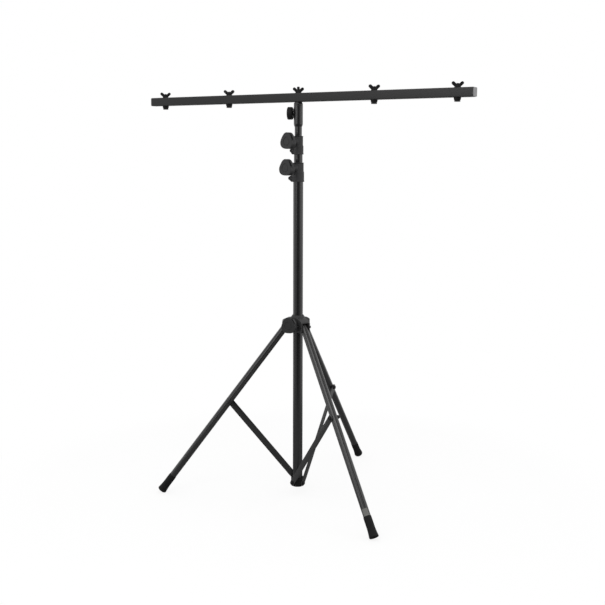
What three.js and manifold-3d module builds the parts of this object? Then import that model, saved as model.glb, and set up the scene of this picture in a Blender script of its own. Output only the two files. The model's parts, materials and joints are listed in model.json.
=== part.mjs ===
// Lighting stand with a cross bar: a folding tripod base, a three-stage telescopic mast
// and a square bar with five bolts. Millimetres, +Z up, the origin on the floor under the mast.
import * as THREE from "three";
import { mergeVertices } from "three/addons/utils/BufferGeometryUtils.js";
import Module from "manifold-3d";

const wasm = await Module();
wasm.setup();

const radians = THREE.MathUtils.degToRad;
const QUARTER = Math.PI / 2;
const TURN = 2 * Math.PI;

// Driving dimensions of the mast
const lowerTubeDiameter = 35;
const middleTubeDiameter = 30;
const topTubeDiameter = 25;
const tubeWall = 1.8;
const lowerTubeLength = 1105;
const middleTubeShown = 28; // between the two clamps
const topTubeShown = 32; // between the upper clamp and the adaptor
const middleTubeStop = 35; // from the base plug up to the middle tube's guide
const topTubeStop = 40.7; // from the middle tube's guide up to the top tube's guide

// Driving dimensions of the folding base
const legTubeDiameter = 25;
const legTubeWall = 1.5;
const legAngle = radians(36.6); // from the vertical, standing
const legAzimuths = { left: 180, front: -60, rear: 60 }; // degrees
const legToBrace = 345; // hub pivot to brace pivot, along the leg
const braceLength = 392; // pivot to pivot
const braceWidth = 23;
const braceThickness = 3;
const bracePivotHeight = 41;
const hubPivotRadius = 42;

// Driving dimensions of the cross bar
const barLength = 1270;
const barSize = 30;
const barWall = 2;
const barCorner = 3.5;
const barYaw = radians(-30.8);
const boltFromEnd = 55; // the outer bolts from the bar's ends

// Clearances
const fitGap = 0.3; // between pieces that touch
const hubPlay = 0.9; // the hub on the mast
const pinPlay = 1.2; // hub pins in the hub's forks
const cutOverrun = 5; // a cut runs this far past what it cuts

// Fineness of round work
const tubeSides = 24;
const fineSides = 16;
const smallSides = 10;
const filletSteps = 2;
const outlineSteps = 4; // to each curve of an outline
const mergeDistance = 1e-4;

const finishes = {
  powderCoat: { color: 0x1b1b1c, roughness: 0.38, metalness: 0.1 },
  barCoat: { color: 0x3a3a3b, roughness: 0.5, metalness: 0.1 },
  casting: { color: 0x222223, roughness: 0.5, metalness: 0.1 },
  blackPlastic: { color: 0x1d1d1e, roughness: 0.55, metalness: 0 },
  greyPlastic: { color: 0x8d8d8d, roughness: 0.6, metalness: 0 },
  rubber: { color: 0x181818, roughness: 0.8, metalness: 0 },
  blackSteel: { color: 0x202022, roughness: 0.42, metalness: 0.7 },
};
const materials = {};
for (const [name, finish] of Object.entries(finishes)) {
  materials[name] = new THREE.MeshStandardMaterial(finish);
}

const stand = new THREE.Group();

// A closed geometry as a solid, with its shared vertices merged.
function solid(geometry) {
  const bare = geometry.index ? geometry.toNonIndexed() : geometry.clone();
  for (const name of Object.keys(bare.attributes)) {
    if (name !== "position") bare.deleteAttribute(name);
  }
  const merged = mergeVertices(bare, mergeDistance);
  const corners = [];
  for (let i = 0; i < merged.index.count; i += 3) {
    const [a, b, c] = [0, 1, 2].map((k) => merged.index.getX(i + k));
    if (a !== b && b !== c && c !== a) corners.push(a, b, c);
  }
  const triVerts = new Uint32Array(corners);
  const vertProperties = merged.attributes.position.array;
  return new wasm.Manifold(new wasm.Mesh({ numProp: 3, vertProperties, triVerts }));
}

// A solid turned back into geometry with flat shading.
function geometryOf(body) {
  const raw = body.getMesh();
  const positions = new Float32Array(raw.numVert * 3);
  for (let i = 0; i < raw.numVert; i++) {
    positions.set(raw.vertProperties.subarray(i * raw.numProp, i * raw.numProp + 3), i * 3);
  }
  const indexed = new THREE.BufferGeometry();
  indexed.setAttribute("position", new THREE.BufferAttribute(positions, 3));
  indexed.setIndex(new THREE.BufferAttribute(raw.triVerts, 1));
  const flat = indexed.toNonIndexed();
  flat.computeVertexNormals();
  return flat;
}

function join(...bodies) {
  return bodies.reduce((whole, body) => whole.add(body));
}

function cut(body, ...tools) {
  return tools.reduce((left, tool) => left.subtract(tool), body);
}

function place(name, body, finish, parent = stand) {
  const mesh = new THREE.Mesh(geometryOf(body), materials[finish]);
  mesh.name = name;
  parent.add(mesh);
  return mesh;
}

function group(parent = stand) {
  const made = new THREE.Group();
  parent.add(made);
  return made;
}

// A profile of [radius, height] points turned about Z. It is given counter-clockwise,
// with the radius to the right, and starts and ends on the axis or closes on itself.
function turned(profile, sides = fineSides) {
  const points = profile.map(([radius, height]) => new THREE.Vector2(radius, height));
  const ends = [points[0], points[points.length - 1]];
  const onAxis = ends.every((point) => Math.abs(point.x) < mergeDistance);
  if (onAxis) ends.forEach((point) => point.setX(0));
  else points.push(points[0].clone());
  const geometry = new THREE.LatheGeometry(points, sides);
  geometry.rotateX(QUARTER);
  return solid(geometry);
}

function rod(radius, low, high, sides = smallSides) {
  return turned([[0, low], [radius, low], [radius, high], [0, high]], sides);
}

function pipe(outer, inner, low, high, sides = tubeSides) {
  return turned([[inner, low], [outer, low], [outer, high], [inner, high]], sides);
}

// A rod along X from one radius to the next, turned to an azimuth, at a height.
function spoke(radius, inner, outer, azimuth, height, sides = smallSides) {
  return aimed(rod(radius, inner, outer, sides), azimuth, height);
}

// What stands along Z is laid out along a horizontal azimuth.
function aimed(body, azimuth, height) {
  return body.rotate([0, 90, 0]).rotate([0, 0, azimuth]).translate([0, 0, height]);
}

// An outline in X and Z given thickness along Y, centred on the plane Y = 0.
function slab(outline, thickness, curveSegments = outlineSteps) {
  const geometry = new THREE.ExtrudeGeometry(outline, {
    depth: thickness,
    bevelEnabled: false,
    curveSegments,
  });
  geometry.translate(0, 0, -thickness / 2);
  geometry.rotateX(QUARTER);
  return solid(geometry);
}

function block(sizeX, sizeY, sizeZ, x = 0, y = 0, z = 0) {
  const geometry = new THREE.BoxGeometry(sizeX, sizeY, sizeZ);
  geometry.translate(x, y, z);
  return solid(geometry);
}

// Points of [radius, height] on a circle round a centre, from one angle to the next.
function arc(radius, centreR, centreZ, from, to, steps = filletSteps) {
  const points = [];
  for (let i = 0; i <= steps; i++) {
    const angle = from + ((to - from) * i) / steps;
    points.push([centreR + radius * Math.cos(angle), centreZ + radius * Math.sin(angle)]);
  }
  return points;
}

// A six-sided bolt head or nut standing on Z = low.
function hexagon(acrossFlats, low, high) {
  return rod(acrossFlats / 2 / Math.cos(Math.PI / 6), low, high, 6);
}

// Radii that several pieces share
const lowerTubeRadius = lowerTubeDiameter / 2;
const middleTubeRadius = middleTubeDiameter / 2;
const topTubeRadius = topTubeDiameter / 2;
const lowerTubeBore = lowerTubeRadius - tubeWall;
const middleTubeBore = middleTubeRadius - tubeWall;
const legTubeRadius = legTubeDiameter / 2;

// The linkage: the brace's lean follows from the leg's, so that both meet at their pivot.
const bracePivotRadius = hubPivotRadius + legToBrace * Math.sin(legAngle);
const braceAngle = Math.asin(bracePivotRadius / braceLength);
const bracePivotTop = bracePivotHeight + braceLength * Math.cos(braceAngle);
const hubPivotHeight = bracePivotTop + legToBrace * Math.cos(legAngle);

// The base plug stands in the lower tube's foot and has a flat for each brace.
const plugBottom = 29;
const plugShoulder = 60;
const plugRadius = 24;
const plugFlat = 20; // from the mast's axis to each flat
const plugSpigot = 24; // inside the tube
const plugChamfer = 2;
const spigotTop = plugShoulder + plugSpigot;
const pivotBoltRadius = 4;
const pivotHeadRadius = 7;
const pivotHeadHeight = 5;
const pivotHeadDome = 2;
const pivotBoltReach = 8; // its tip, from the mast's axis
const boltPlay = 0.4;

function basePlug() {
  const spigotRadius = lowerTubeBore - fitGap;
  let plug = turned([
    [0, plugBottom],
    [plugRadius - plugChamfer, plugBottom],
    [plugRadius, plugBottom + plugChamfer],
    [plugRadius, plugShoulder - plugChamfer],
    [plugRadius - plugChamfer, plugShoulder],
    [spigotRadius, plugShoulder],
    [spigotRadius, spigotTop - plugChamfer],
    [spigotRadius - plugChamfer, spigotTop],
    [0, spigotTop],
  ], tubeSides);
  const middle = (plugBottom + plugShoulder) / 2;
  const height = plugShoulder - plugBottom + cutOverrun * 2;
  for (const azimuth of Object.values(legAzimuths)) {
    const flat = block(plugRadius, plugRadius * 2, height, plugFlat + plugRadius / 2, 0, middle);
    const hole = spoke(
      pivotBoltRadius + fitGap, pivotBoltReach - fitGap, plugRadius + cutOverrun,
      azimuth - 90, bracePivotHeight,
    );
    plug = cut(plug, flat.rotate([0, 0, azimuth - 90]), hole);
  }
  return plug;
}

const lowerTubeTop = plugShoulder + fitGap + lowerTubeLength;
place("base_plug", basePlug(), "blackPlastic");
place(
  "lower_tube",
  pipe(lowerTubeRadius, lowerTubeBore, plugShoulder + fitGap, lowerTubeTop),
  "powderCoat",
);

// A domed bolt head with its shaft below Z = 0, the head's seat.
function domedBolt(shaftRadius, shaftLength, headRadius, headHeight, dome) {
  return turned([
    [0, -shaftLength],
    [shaftRadius, -shaftLength],
    [shaftRadius, 0],
    [headRadius, 0],
    [headRadius, headHeight - dome],
    [headRadius - dome, headHeight - dome / 4],
    [headRadius / 2, headHeight],
    [0, headHeight],
  ], smallSides);
}

// Lobed hand knobs, made along Z outward from the seat of their neck
const knobLobes = 3;
const knobTipRadius = 30.4;
const knobFluteRadius = 25.6;
const knobThickness = 20;
const knobNeckRadius = 11;
const knobNeckLength = 5;
const knobRound = 3.5;
const knobFaceRadius = 15;
const knobFaceDepth = 1.2;
const knobOutlinePoints = 30;
const studRadius = 4;
const studGrip = 14; // length of the stud inside its knob

function lobedOutline(tip, flute, lobes) {
  const points = [];
  for (let i = 0; i < knobOutlinePoints; i++) {
    const angle = (TURN * i) / knobOutlinePoints;
    const wave = 0.5 - 0.5 * Math.cos(lobes * angle);
    const radius = tip - (tip - flute) * wave;
    points.push(new THREE.Vector2(radius * Math.cos(angle), radius * Math.sin(angle)));
  }
  return new THREE.Shape(points);
}

function lobedKnob({ tip, flute, lobes, thickness, round, neckRadius, neckLength, face, grip }) {
  const geometry = new THREE.ExtrudeGeometry(lobedOutline(tip, flute, lobes), {
    depth: thickness - round * 2,
    bevelThickness: round,
    bevelSize: round,
    bevelOffset: -round,
    bevelSegments: filletSteps,
  });
  geometry.translate(0, 0, neckLength + round);
  const top = neckLength + thickness;
  const neck = rod(neckRadius, 0, neckLength + round, fineSides);
  const recess = rod(face, top - knobFaceDepth, top + cutOverrun, fineSides);
  const hole = rod(studRadius + fitGap, -cutOverrun, grip + fitGap);
  return cut(join(solid(geometry), neck), recess, hole);
}

const handKnob = {
  tip: knobTipRadius,
  flute: knobFluteRadius,
  lobes: knobLobes,
  thickness: knobThickness,
  round: knobRound,
  neckRadius: knobNeckRadius,
  neckLength: knobNeckLength,
  face: knobFaceRadius,
  grip: studGrip,
};

// A hand knob on its stud: the stud's tip stops clear of the tube that it pinches.
function placeKnob(prefix, shape, azimuth, seat, height, pinchedRadius, gap, turn) {
  const knob = lobedKnob(shape).rotate([0, 0, turn]).translate([0, 0, seat]);
  const tipAt = pinchedRadius + gap;
  place(prefix + "_knob", aimed(knob, azimuth, height), "blackPlastic");
  place(
    prefix + "_screw",
    spoke(studRadius, tipAt, seat + shape.grip, azimuth, height),
    "blackSteel",
  );
}

// The two mast clamps: castings that sit on one tube's mouth and guide the next tube.
const knobAzimuth = 226; // degrees, of both mast clamps' knobs
const lowerKnobTurn = 57; // degrees, as left by hand
const upperKnobTurn = 56;
const lowerBossReach = 20; // of the knob's boss beyond the socket
const upperBossReach = 16.5;
const clampBossRadius = 11;
const clampRim = 0.9; // how far the rims stand out
const clampRimHeight = 3;
const clampWall = 2.6;
const collarWall = 1.8; // beside the bush
const clampShoulder = 4; // height of the slope from socket to collar
const bushWall = 1.5;
const bushFlange = 2.5;
const pinchBoltHeight = 13; // above the clamp's foot
const pinchRibWidth = 15;
const pinchRibHeight = 13; // above the bolt
const pinchRibFoot = 6; // how far the rib's foot stands out of the socket
const pinchHeadRadius = 6.3;
const pinchHeadHeight = 8;
const pinchShaftRadius = 4;

function clampBody(clamp) {
  const { foot, height, outerTube, innerTube, socket, knobHeight, knobReach, pinchReach } = clamp;
  const top = foot + height - bushFlange - fitGap;
  const tubeTop = foot + socket;
  const socketBore = outerTube + fitGap;
  const socketOuter = socketBore + clampWall;
  const bushBore = innerTube + fitGap + bushWall + fitGap;
  const collarOuter = bushBore + collarWall;
  let body = turned([
    [socketBore, foot],
    [socketOuter + clampRim, foot],
    [socketOuter + clampRim, foot + clampRimHeight],
    [socketOuter, foot + clampRimHeight + clampRim],
    [socketOuter, tubeTop - clampShoulder / 2],
    [collarOuter, tubeTop + clampShoulder / 2],
    [collarOuter, top],
    [bushBore, top],
    [bushBore, tubeTop + fitGap],
    [socketBore, tubeTop + fitGap],
  ], tubeSides);
  const knobBoss = spoke(
    clampBossRadius, innerTube, knobReach, knobAzimuth, foot + knobHeight, fineSides,
  );
  const boltAt = foot + pinchBoltHeight;
  const rib = new THREE.Shape();
  rib.moveTo(outerTube, foot);
  rib.lineTo(socketOuter + pinchRibFoot, foot);
  rib.lineTo(pinchReach, boltAt - pinchHeadRadius);
  rib.lineTo(pinchReach, boltAt + pinchHeadRadius);
  rib.lineTo(socketOuter, boltAt + pinchRibHeight);
  rib.lineTo(outerTube, boltAt + pinchRibHeight);
  rib.closePath();
  const ribSolid = slab(rib, pinchRibWidth).rotate([0, 0, knobAzimuth]);
  body = join(body, knobBoss, ribSolid);
  const socketSpace = rod(socketBore, foot - cutOverrun, tubeTop + fitGap, tubeSides);
  const bushSpace = rod(bushBore, foot, top + cutOverrun, tubeSides);
  const knobHole = spoke(
    studRadius + fitGap, innerTube / 2, knobReach + cutOverrun, knobAzimuth, foot + knobHeight,
  );
  const pinchHole = spoke(
    pinchShaftRadius + fitGap, outerTube / 2, pinchReach + cutOverrun, knobAzimuth, boltAt,
  );
  return cut(body, socketSpace, bushSpace, knobHole, pinchHole);
}

function clampBush(clamp) {
  const { foot, height, innerTube, socket, knobHeight } = clamp;
  const top = foot + height;
  const bore = innerTube + fitGap;
  const outer = bore + bushWall;
  const flangeRadius = outer + fitGap + collarWall + clampRim;
  const bush = turned([
    [bore, foot + socket + fitGap * 2],
    [outer, foot + socket + fitGap * 2],
    [outer, top - bushFlange],
    [flangeRadius, top - bushFlange],
    [flangeRadius, top],
    [bore, top],
  ], tubeSides);
  const hole = spoke(
    studRadius + fitGap, innerTube / 2, outer + cutOverrun, knobAzimuth, foot + knobHeight,
  );
  return cut(bush, hole);
}

function pinchBolt(clamp) {
  const { foot, outerTube, pinchReach } = clamp;
  const seat = pinchReach + fitGap;
  const shaft = seat - outerTube - fitGap;
  const dome = pinchHeadRadius / 4;
  const bolt = domedBolt(pinchShaftRadius, shaft, pinchHeadRadius, pinchHeadHeight, dome);
  return aimed(bolt.translate([0, 0, seat]), knobAzimuth, foot + pinchBoltHeight);
}

function placeClamp(prefix, clamp) {
  place(prefix + "_body", clampBody(clamp), "casting");
  place(prefix + "_bush", clampBush(clamp), "blackPlastic");
  place(prefix + "_bolt", pinchBolt(clamp), "blackSteel");
  placeKnob(
    prefix, handKnob, knobAzimuth, clamp.knobReach + fitGap, clamp.foot + clamp.knobHeight,
    clamp.innerTube, fitGap, clamp.knobTurn,
  );
}

const lowerSocket = 35;
const lowerClampHeight = 66;
const lowerKnobDrop = 17.9; // below the clamp's top
const lowerPinchReach = 17; // beyond the socket
const lowerClamp = {
  foot: lowerTubeTop - lowerSocket,
  height: lowerClampHeight,
  outerTube: lowerTubeRadius,
  innerTube: middleTubeRadius,
  socket: lowerSocket,
  knobHeight: lowerClampHeight - lowerKnobDrop,
  knobReach: lowerTubeRadius + clampWall + lowerBossReach,
  pinchReach: lowerTubeRadius + clampWall + lowerPinchReach,
  knobTurn: lowerKnobTurn,
};
placeClamp("lower_clamp", lowerClamp);

// The middle tube and the upper clamp on its mouth
const upperSocket = 30;
const upperClampHeight = 63;
const upperKnobDrop = 18.7; // below the clamp's top
const upperPinchReach = 12.2; // beyond the socket
const upperClampFoot = lowerClamp.foot + lowerClampHeight + middleTubeShown;
const middleTubeTop = upperClampFoot + upperSocket;
const guideFlange = 5;
const guideSpigot = 15;
const guideBore = 6;
const guideSides = 12;
const middleTubeFoot = spigotTop + middleTubeStop + guideFlange + fitGap;

function tubeGuide(tubeFoot, tubeBore, guidedBore) {
  const flangeRadius = guidedBore - fitGap;
  const spigotRadius = tubeBore - fitGap;
  return turned([
    [guideBore, tubeFoot - fitGap - guideFlange],
    [flangeRadius, tubeFoot - fitGap - guideFlange],
    [flangeRadius, tubeFoot - fitGap],
    [spigotRadius, tubeFoot - fitGap],
    [spigotRadius, tubeFoot + guideSpigot],
    [guideBore, tubeFoot + guideSpigot],
  ], guideSides);
}

place(
  "middle_tube",
  pipe(middleTubeRadius, middleTubeBore, middleTubeFoot, middleTubeTop),
  "powderCoat",
);
place("middle_guide", tubeGuide(middleTubeFoot, middleTubeBore, lowerTubeBore), "blackPlastic");

const upperClamp = {
  foot: upperClampFoot,
  height: upperClampHeight,
  outerTube: middleTubeRadius,
  innerTube: topTubeRadius,
  socket: upperSocket,
  knobHeight: upperClampHeight - upperKnobDrop,
  knobReach: middleTubeRadius + clampWall + upperBossReach,
  pinchReach: middleTubeRadius + clampWall + upperPinchReach,
  knobTurn: upperKnobTurn,
};
placeClamp("upper_clamp", upperClamp);

// The adaptor: a sleeve over the top tube's end, with the stud that carries the cross bar
const sleeveLength = 74;
const sleeveWall = 3;
const sleeveSeat = 66; // depth of the top tube inside
const sleeveChamfer = 8;
const sleeveLip = 0.8; // wall left at the sleeve's foot
const neckHeight = 7;
const neckRadius = 13;
const neckTopHeight = 1.6;
const mainStudRadius = 5;
const mainStudDepth = 12; // below the adaptor's top
const mainStudTop = 22; // above the bar
const adaptorKnobAzimuth = 166;
const adaptorKnobHeight = 45; // above the sleeve's foot
const adaptorBossRadius = 8;
const adaptorBossReach = 2.5; // beyond the sleeve
const adaptorKnobLobes = 6;
const adaptorKnobTip = 21.5;
const adaptorKnobFlute = 20.2;
const adaptorKnobThickness = 16;
const adaptorKnobRound = 4;
const adaptorKnobNeck = 12;
const adaptorKnobNeckLength = 2;
const adaptorKnobFace = 8;
const adaptorKnobGrip = 12;

const sleeveFoot = upperClampFoot + upperClampHeight + topTubeShown;
const topTubeTop = sleeveFoot + sleeveSeat;
const topTubeFoot = middleTubeFoot + guideSpigot + topTubeStop + guideFlange + fitGap;
const sleeveBore = topTubeRadius + fitGap;
const sleeveRadius = sleeveBore + sleeveWall;
const sleeveTop = sleeveFoot + sleeveLength;
const adaptorTop = sleeveTop + neckHeight + neckTopHeight;
const barBottom = adaptorTop + fitGap;
const barTop = barBottom + barSize;
const adaptorKnobSeat = sleeveRadius + adaptorBossReach + fitGap;
const adaptorKnobAt = sleeveFoot + adaptorKnobHeight;

place(
  "top_tube",
  pipe(topTubeRadius, topTubeRadius - tubeWall, topTubeFoot, topTubeTop - fitGap),
  "powderCoat",
);
place(
  "top_guide",
  tubeGuide(topTubeFoot, topTubeRadius - tubeWall, middleTubeBore),
  "blackPlastic",
);

function adaptorSleeve() {
  const body = turned([
    [0, topTubeTop],
    [sleeveBore, topTubeTop],
    [sleeveBore, sleeveFoot],
    [sleeveBore + sleeveLip, sleeveFoot],
    [sleeveRadius, sleeveFoot + sleeveChamfer],
    [sleeveRadius, sleeveTop],
    [neckRadius, sleeveTop + neckHeight],
    [neckRadius, adaptorTop],
    [0, adaptorTop],
  ], tubeSides);
  const boss = spoke(
    adaptorBossRadius, topTubeRadius + sleeveWall / 2, sleeveRadius + adaptorBossReach,
    adaptorKnobAzimuth, adaptorKnobAt,
  );
  const studHole = rod(
    mainStudRadius + fitGap, adaptorTop - mainStudDepth - fitGap, adaptorTop + cutOverrun,
  );
  const screwHole = spoke(
    studRadius + fitGap, topTubeRadius / 2, sleeveRadius + cutOverrun * 2,
    adaptorKnobAzimuth, adaptorKnobAt,
  );
  return cut(join(body, boss), studHole, screwHole);
}

const adaptorKnobShape = {
  tip: adaptorKnobTip,
  flute: adaptorKnobFlute,
  lobes: adaptorKnobLobes,
  thickness: adaptorKnobThickness,
  round: adaptorKnobRound,
  neckRadius: adaptorKnobNeck,
  neckLength: adaptorKnobNeckLength,
  face: adaptorKnobFace,
  grip: adaptorKnobGrip,
};

const adaptorStudTip = 3;
const studSolid = turned([
  [0, adaptorTop - mainStudDepth],
  [mainStudRadius, adaptorTop - mainStudDepth],
  [mainStudRadius, barTop + mainStudTop - adaptorStudTip / 2],
  [mainStudRadius - adaptorStudTip / 2, barTop + mainStudTop],
  [0, barTop + mainStudTop],
], smallSides);
place("adaptor_sleeve", adaptorSleeve(), "powderCoat");
place("adaptor_stud", studSolid, "blackSteel");
placeKnob(
  "adaptor", adaptorKnobShape, adaptorKnobAzimuth, adaptorKnobSeat, adaptorKnobAt,
  topTubeRadius, fitGap, 0,
);

// The cross bar with its plugs, hanging bolts, rubber bushes and wing nuts, along local X
const lampBoltRadius = 5;
const lampBushRadius = 12; // against the bar
const lampBushFootRadius = 10.4;
const lampBushHeight = 8.2;
const lampHeadFlats = 17;
const lampHeadHeight = 4.6;
const lampBoltTop = 14; // above the bar
const plugFlangeLength = 4;
const plugInset = 0.6;
const plugTail = 14;
const nutFootRadius = 10.5;
const nutCrownRadius = 8.4;
const nutHeight = 11.6;
const nutDome = 2.4; // the crown's rounding
const nutFootHeight = 2;
const wingThickness = 5;
const wingRadius = 4.6;
const wingRootX = 5.5;
const wingRootZ = 6;
const wingTipX = 13.7;
const wingTipZ = 15.5;
const wingSteps = 4;
const wingNutAngles = [12, -8, 15, -5]; // degrees from the X axis, as left by hand

function roundedSquare(size, corner) {
  const half = size / 2;
  const flat = half - corner;
  const shape = new THREE.Shape();
  shape.moveTo(half, -flat);
  shape.absarc(flat, flat, corner, 0, QUARTER, false);
  shape.absarc(-flat, flat, corner, QUARTER, 2 * QUARTER, false);
  shape.absarc(-flat, -flat, corner, 2 * QUARTER, 3 * QUARTER, false);
  shape.absarc(flat, -flat, corner, 3 * QUARTER, 4 * QUARTER, false);
  return shape;
}

// A square section run along X between two places.
function squareRun(size, corner, from, to, hollow) {
  const shape = roundedSquare(size, corner);
  if (hollow) shape.holes.push(roundedSquare(size - 2 * hollow, corner - hollow / 2));
  const geometry = new THREE.ExtrudeGeometry(shape, {
    depth: to - from,
    bevelEnabled: false,
    curveSegments: filletSteps,
  });
  geometry.translate(0, 0, from);
  geometry.rotateX(QUARTER);
  geometry.rotateZ(QUARTER);
  return solid(geometry);
}

const boltPlaceShares = [-1, -0.5, 0.5, 1];
const outerBoltPlace = barLength / 2 - boltFromEnd;
const boltPlaces = boltPlaceShares.map((share) => share * outerBoltPlace);

function crossBar() {
  let bar = squareRun(barSize, barCorner, -barLength / 2, barLength / 2, barWall);
  for (const x of [0, ...boltPlaces]) {
    const radius = (x === 0 ? mainStudRadius : lampBoltRadius) + fitGap;
    bar = cut(bar, rod(radius, -barSize, barSize).translate([x, 0, 0]));
  }
  return bar.translate([0, 0, barBottom + barSize / 2]);
}

function endPlug(side) {
  const end = barLength / 2 + fitGap;
  const flange = squareRun(barSize - plugInset * 2, barCorner, end, end + plugFlangeLength);
  const inner = barSize - 2 * barWall - 2 * fitGap;
  const tail = squareRun(inner, barCorner - barWall / 2, end - plugTail, end + plugFlangeLength / 2);
  const plug = join(flange, tail).translate([0, 0, barBottom + barSize / 2]);
  return side < 0 ? plug.rotate([0, 0, 180]) : plug;
}

function lampBolt() {
  const seat = barBottom - fitGap * 2 - lampBushHeight;
  const head = hexagon(lampHeadFlats, seat - lampHeadHeight, seat);
  const end = barTop + lampBoltTop;
  const shaft = turned([
    [0, seat - lampHeadHeight / 2],
    [lampBoltRadius, seat - lampHeadHeight / 2],
    [lampBoltRadius, end - lampBoltRadius / 2],
    [lampBoltRadius / 2, end],
    [0, end],
  ], smallSides);
  return join(head, shaft);
}

function lampBush() {
  const top = barBottom - fitGap;
  const bore = lampBoltRadius + fitGap;
  return turned([
    [bore, top - lampBushHeight],
    [lampBushFootRadius, top - lampBushHeight],
    [lampBushRadius, top],
    [bore, top],
  ]);
}

function wingNut(bore) {
  const crown = turned([
    [bore, 0],
    [nutFootRadius, 0],
    [nutFootRadius, nutFootHeight],
    [nutCrownRadius, nutFootHeight * 2],
    [nutCrownRadius - fitGap * 2, nutHeight - nutDome],
    [nutCrownRadius - nutDome, nutHeight],
    [bore, nutHeight],
  ], smallSides);
  const lean = Math.atan2(wingTipX - wingRootX, wingTipZ - wingRootZ);
  const wing = new THREE.Shape();
  wing.absarc(wingTipX, wingTipZ, wingRadius, -lean, Math.PI - lean, false);
  wing.absarc(wingRootX, wingRootZ, wingRadius, Math.PI - lean, TURN - lean, false);
  const right = slab(wing, wingThickness, wingSteps);
  const space = rod(bore, -cutOverrun, nutHeight + cutOverrun * 3);
  return cut(join(crown, right, right.rotate([0, 0, 180])), space);
}

const barGroup = group();
barGroup.rotation.z = barYaw;
place("cross_bar", crossBar(), "barCoat", barGroup);
place("bar_plug_left", endPlug(-1), "greyPlastic", barGroup);
place("bar_plug_right", endPlug(1), "greyPlastic", barGroup);
boltPlaces.forEach((x, i) => {
  const station = group(barGroup);
  station.position.x = x;
  place("lamp_bolt_" + (i + 1), lampBolt(), "blackSteel", station);
  place("lamp_bush_" + (i + 1), lampBush(), "rubber", station);
  const nut = place("wing_nut_" + (i + 1), wingNut(lampBoltRadius + fitGap), "blackSteel", station);
  nut.position.z = barTop + fitGap;
  nut.rotation.z = radians(wingNutAngles[i]) - barYaw;
});
const mainNut = place("wing_nut_centre", wingNut(mainStudRadius + fitGap), "blackSteel");
mainNut.position.z = barTop + fitGap;

// The sliding hub: a casting with three hooded forks and a knob between two of them
const hubRadius = 25;
const hubBelow = 20; // its foot below the leg pivots
const hubShoulder = 31.5; // its shoulder above them
const hubNeckHeight = 8;
const hubLip = 1.6; // wall left at the hub's top
const forkGap = 0.8; // beside the leg
const forkWall = 4;
const forkReach = 14; // beyond the pivot
const hoodBack = 30; // hood height at the hub, above the pivots
const hoodFront = 19.5; // and at the fork's mouth
const hoodThickness = 3.5;
const forkRound = 6;
const legOverhang = 9; // leg tube above its pivot
const hubKnobAzimuth = 238;
const hubKnobHeight = 8; // above the pivots
const hubKnobReach = 40.2;
const hubKnobTurn = 63; // degrees
const hubBossRadius = 11;
const pinHeadRadius = 6.5;
const pinHeadHeight = 5;
const pinNutHeight = 8.5;
const pinNutTurns = { left: 180, front: 0, rear: 0 }; // degrees: each nut is away from the knob

const hubBore = lowerTubeRadius + hubPlay;
const forkHalf = legTubeRadius + forkGap + forkWall;
const legSwing = Math.hypot(legOverhang, legTubeRadius) + forkGap;

function forkOutline() {
  const mouth = hubPivotRadius + forkReach;
  const foot = hubPivotHeight - hubBelow;
  const shape = new THREE.Shape();
  shape.moveTo(hubBore, foot);
  shape.lineTo(mouth - forkRound * 2, foot);
  shape.quadraticCurveTo(mouth, foot, mouth, foot + forkRound * 2);
  shape.lineTo(mouth, hubPivotHeight + hoodFront - forkRound);
  shape.quadraticCurveTo(
    mouth, hubPivotHeight + hoodFront, mouth - forkRound, hubPivotHeight + hoodFront + forkRound / 2,
  );
  shape.lineTo(hubRadius + forkRound, hubPivotHeight + hoodBack);
  shape.lineTo(hubBore, hubPivotHeight + hoodBack);
  shape.closePath();
  return shape;
}

// The space that a leg's end swings in, open below and at the fork's mouth.
function pocketOutline() {
  const past = hubPivotRadius + forkReach + cutOverrun;
  const below = hubPivotHeight - hubBelow - cutOverrun;
  const roof = hoodFront - hoodThickness;
  const shape = new THREE.Shape();
  shape.moveTo(hubPivotRadius - legSwing, below);
  shape.lineTo(past, below);
  shape.lineTo(past, hubPivotHeight + roof);
  shape.absarc(hubPivotRadius, hubPivotHeight, legSwing, Math.asin(roof / legSwing), Math.PI, false);
  shape.closePath();
  return shape;
}

function hubBody() {
  const foot = hubPivotHeight - hubBelow;
  const shoulder = hubPivotHeight + hubShoulder;
  let body = rod(hubRadius, foot, shoulder, tubeSides);
  const neck = turned([
    [0, shoulder - forkRound],
    [hubRadius, shoulder - forkRound],
    [hubRadius, shoulder],
    [hubBore + hubLip, shoulder + hubNeckHeight],
    [0, shoulder + hubNeckHeight],
  ], tubeSides);
  const boss = spoke(
    hubBossRadius, hubBore, hubKnobReach, hubKnobAzimuth, hubPivotHeight + hubKnobHeight, fineSides,
  );
  body = join(body, neck, boss);
  for (const azimuth of Object.values(legAzimuths)) {
    body = join(body, slab(forkOutline(), forkHalf * 2).rotate([0, 0, azimuth]));
  }
  for (const azimuth of Object.values(legAzimuths)) {
    const pocket = slab(pocketOutline(), (legTubeRadius + forkGap) * 2);
    const hole = rod(pivotBoltRadius + pinPlay, -forkHalf * 2, forkHalf * 2)
      .rotate([90, 0, 0])
      .translate([hubPivotRadius, 0, hubPivotHeight]);
    body = cut(body, pocket.rotate([0, 0, azimuth]), hole.rotate([0, 0, azimuth]));
  }
  const bore = rod(hubBore, foot - cutOverrun, shoulder + hubNeckHeight + cutOverrun, tubeSides);
  const screwHole = spoke(
    studRadius + fitGap, lowerTubeRadius / 2, hubKnobReach + cutOverrun,
    hubKnobAzimuth, hubPivotHeight + hubKnobHeight,
  );
  return cut(body, bore, screwHole);
}

place("hub_body", hubBody(), "casting");
placeKnob(
  "hub", handKnob, hubKnobAzimuth, hubKnobReach + fitGap, hubPivotHeight + hubKnobHeight,
  lowerTubeRadius, hubPlay, hubKnobTurn,
);

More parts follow.
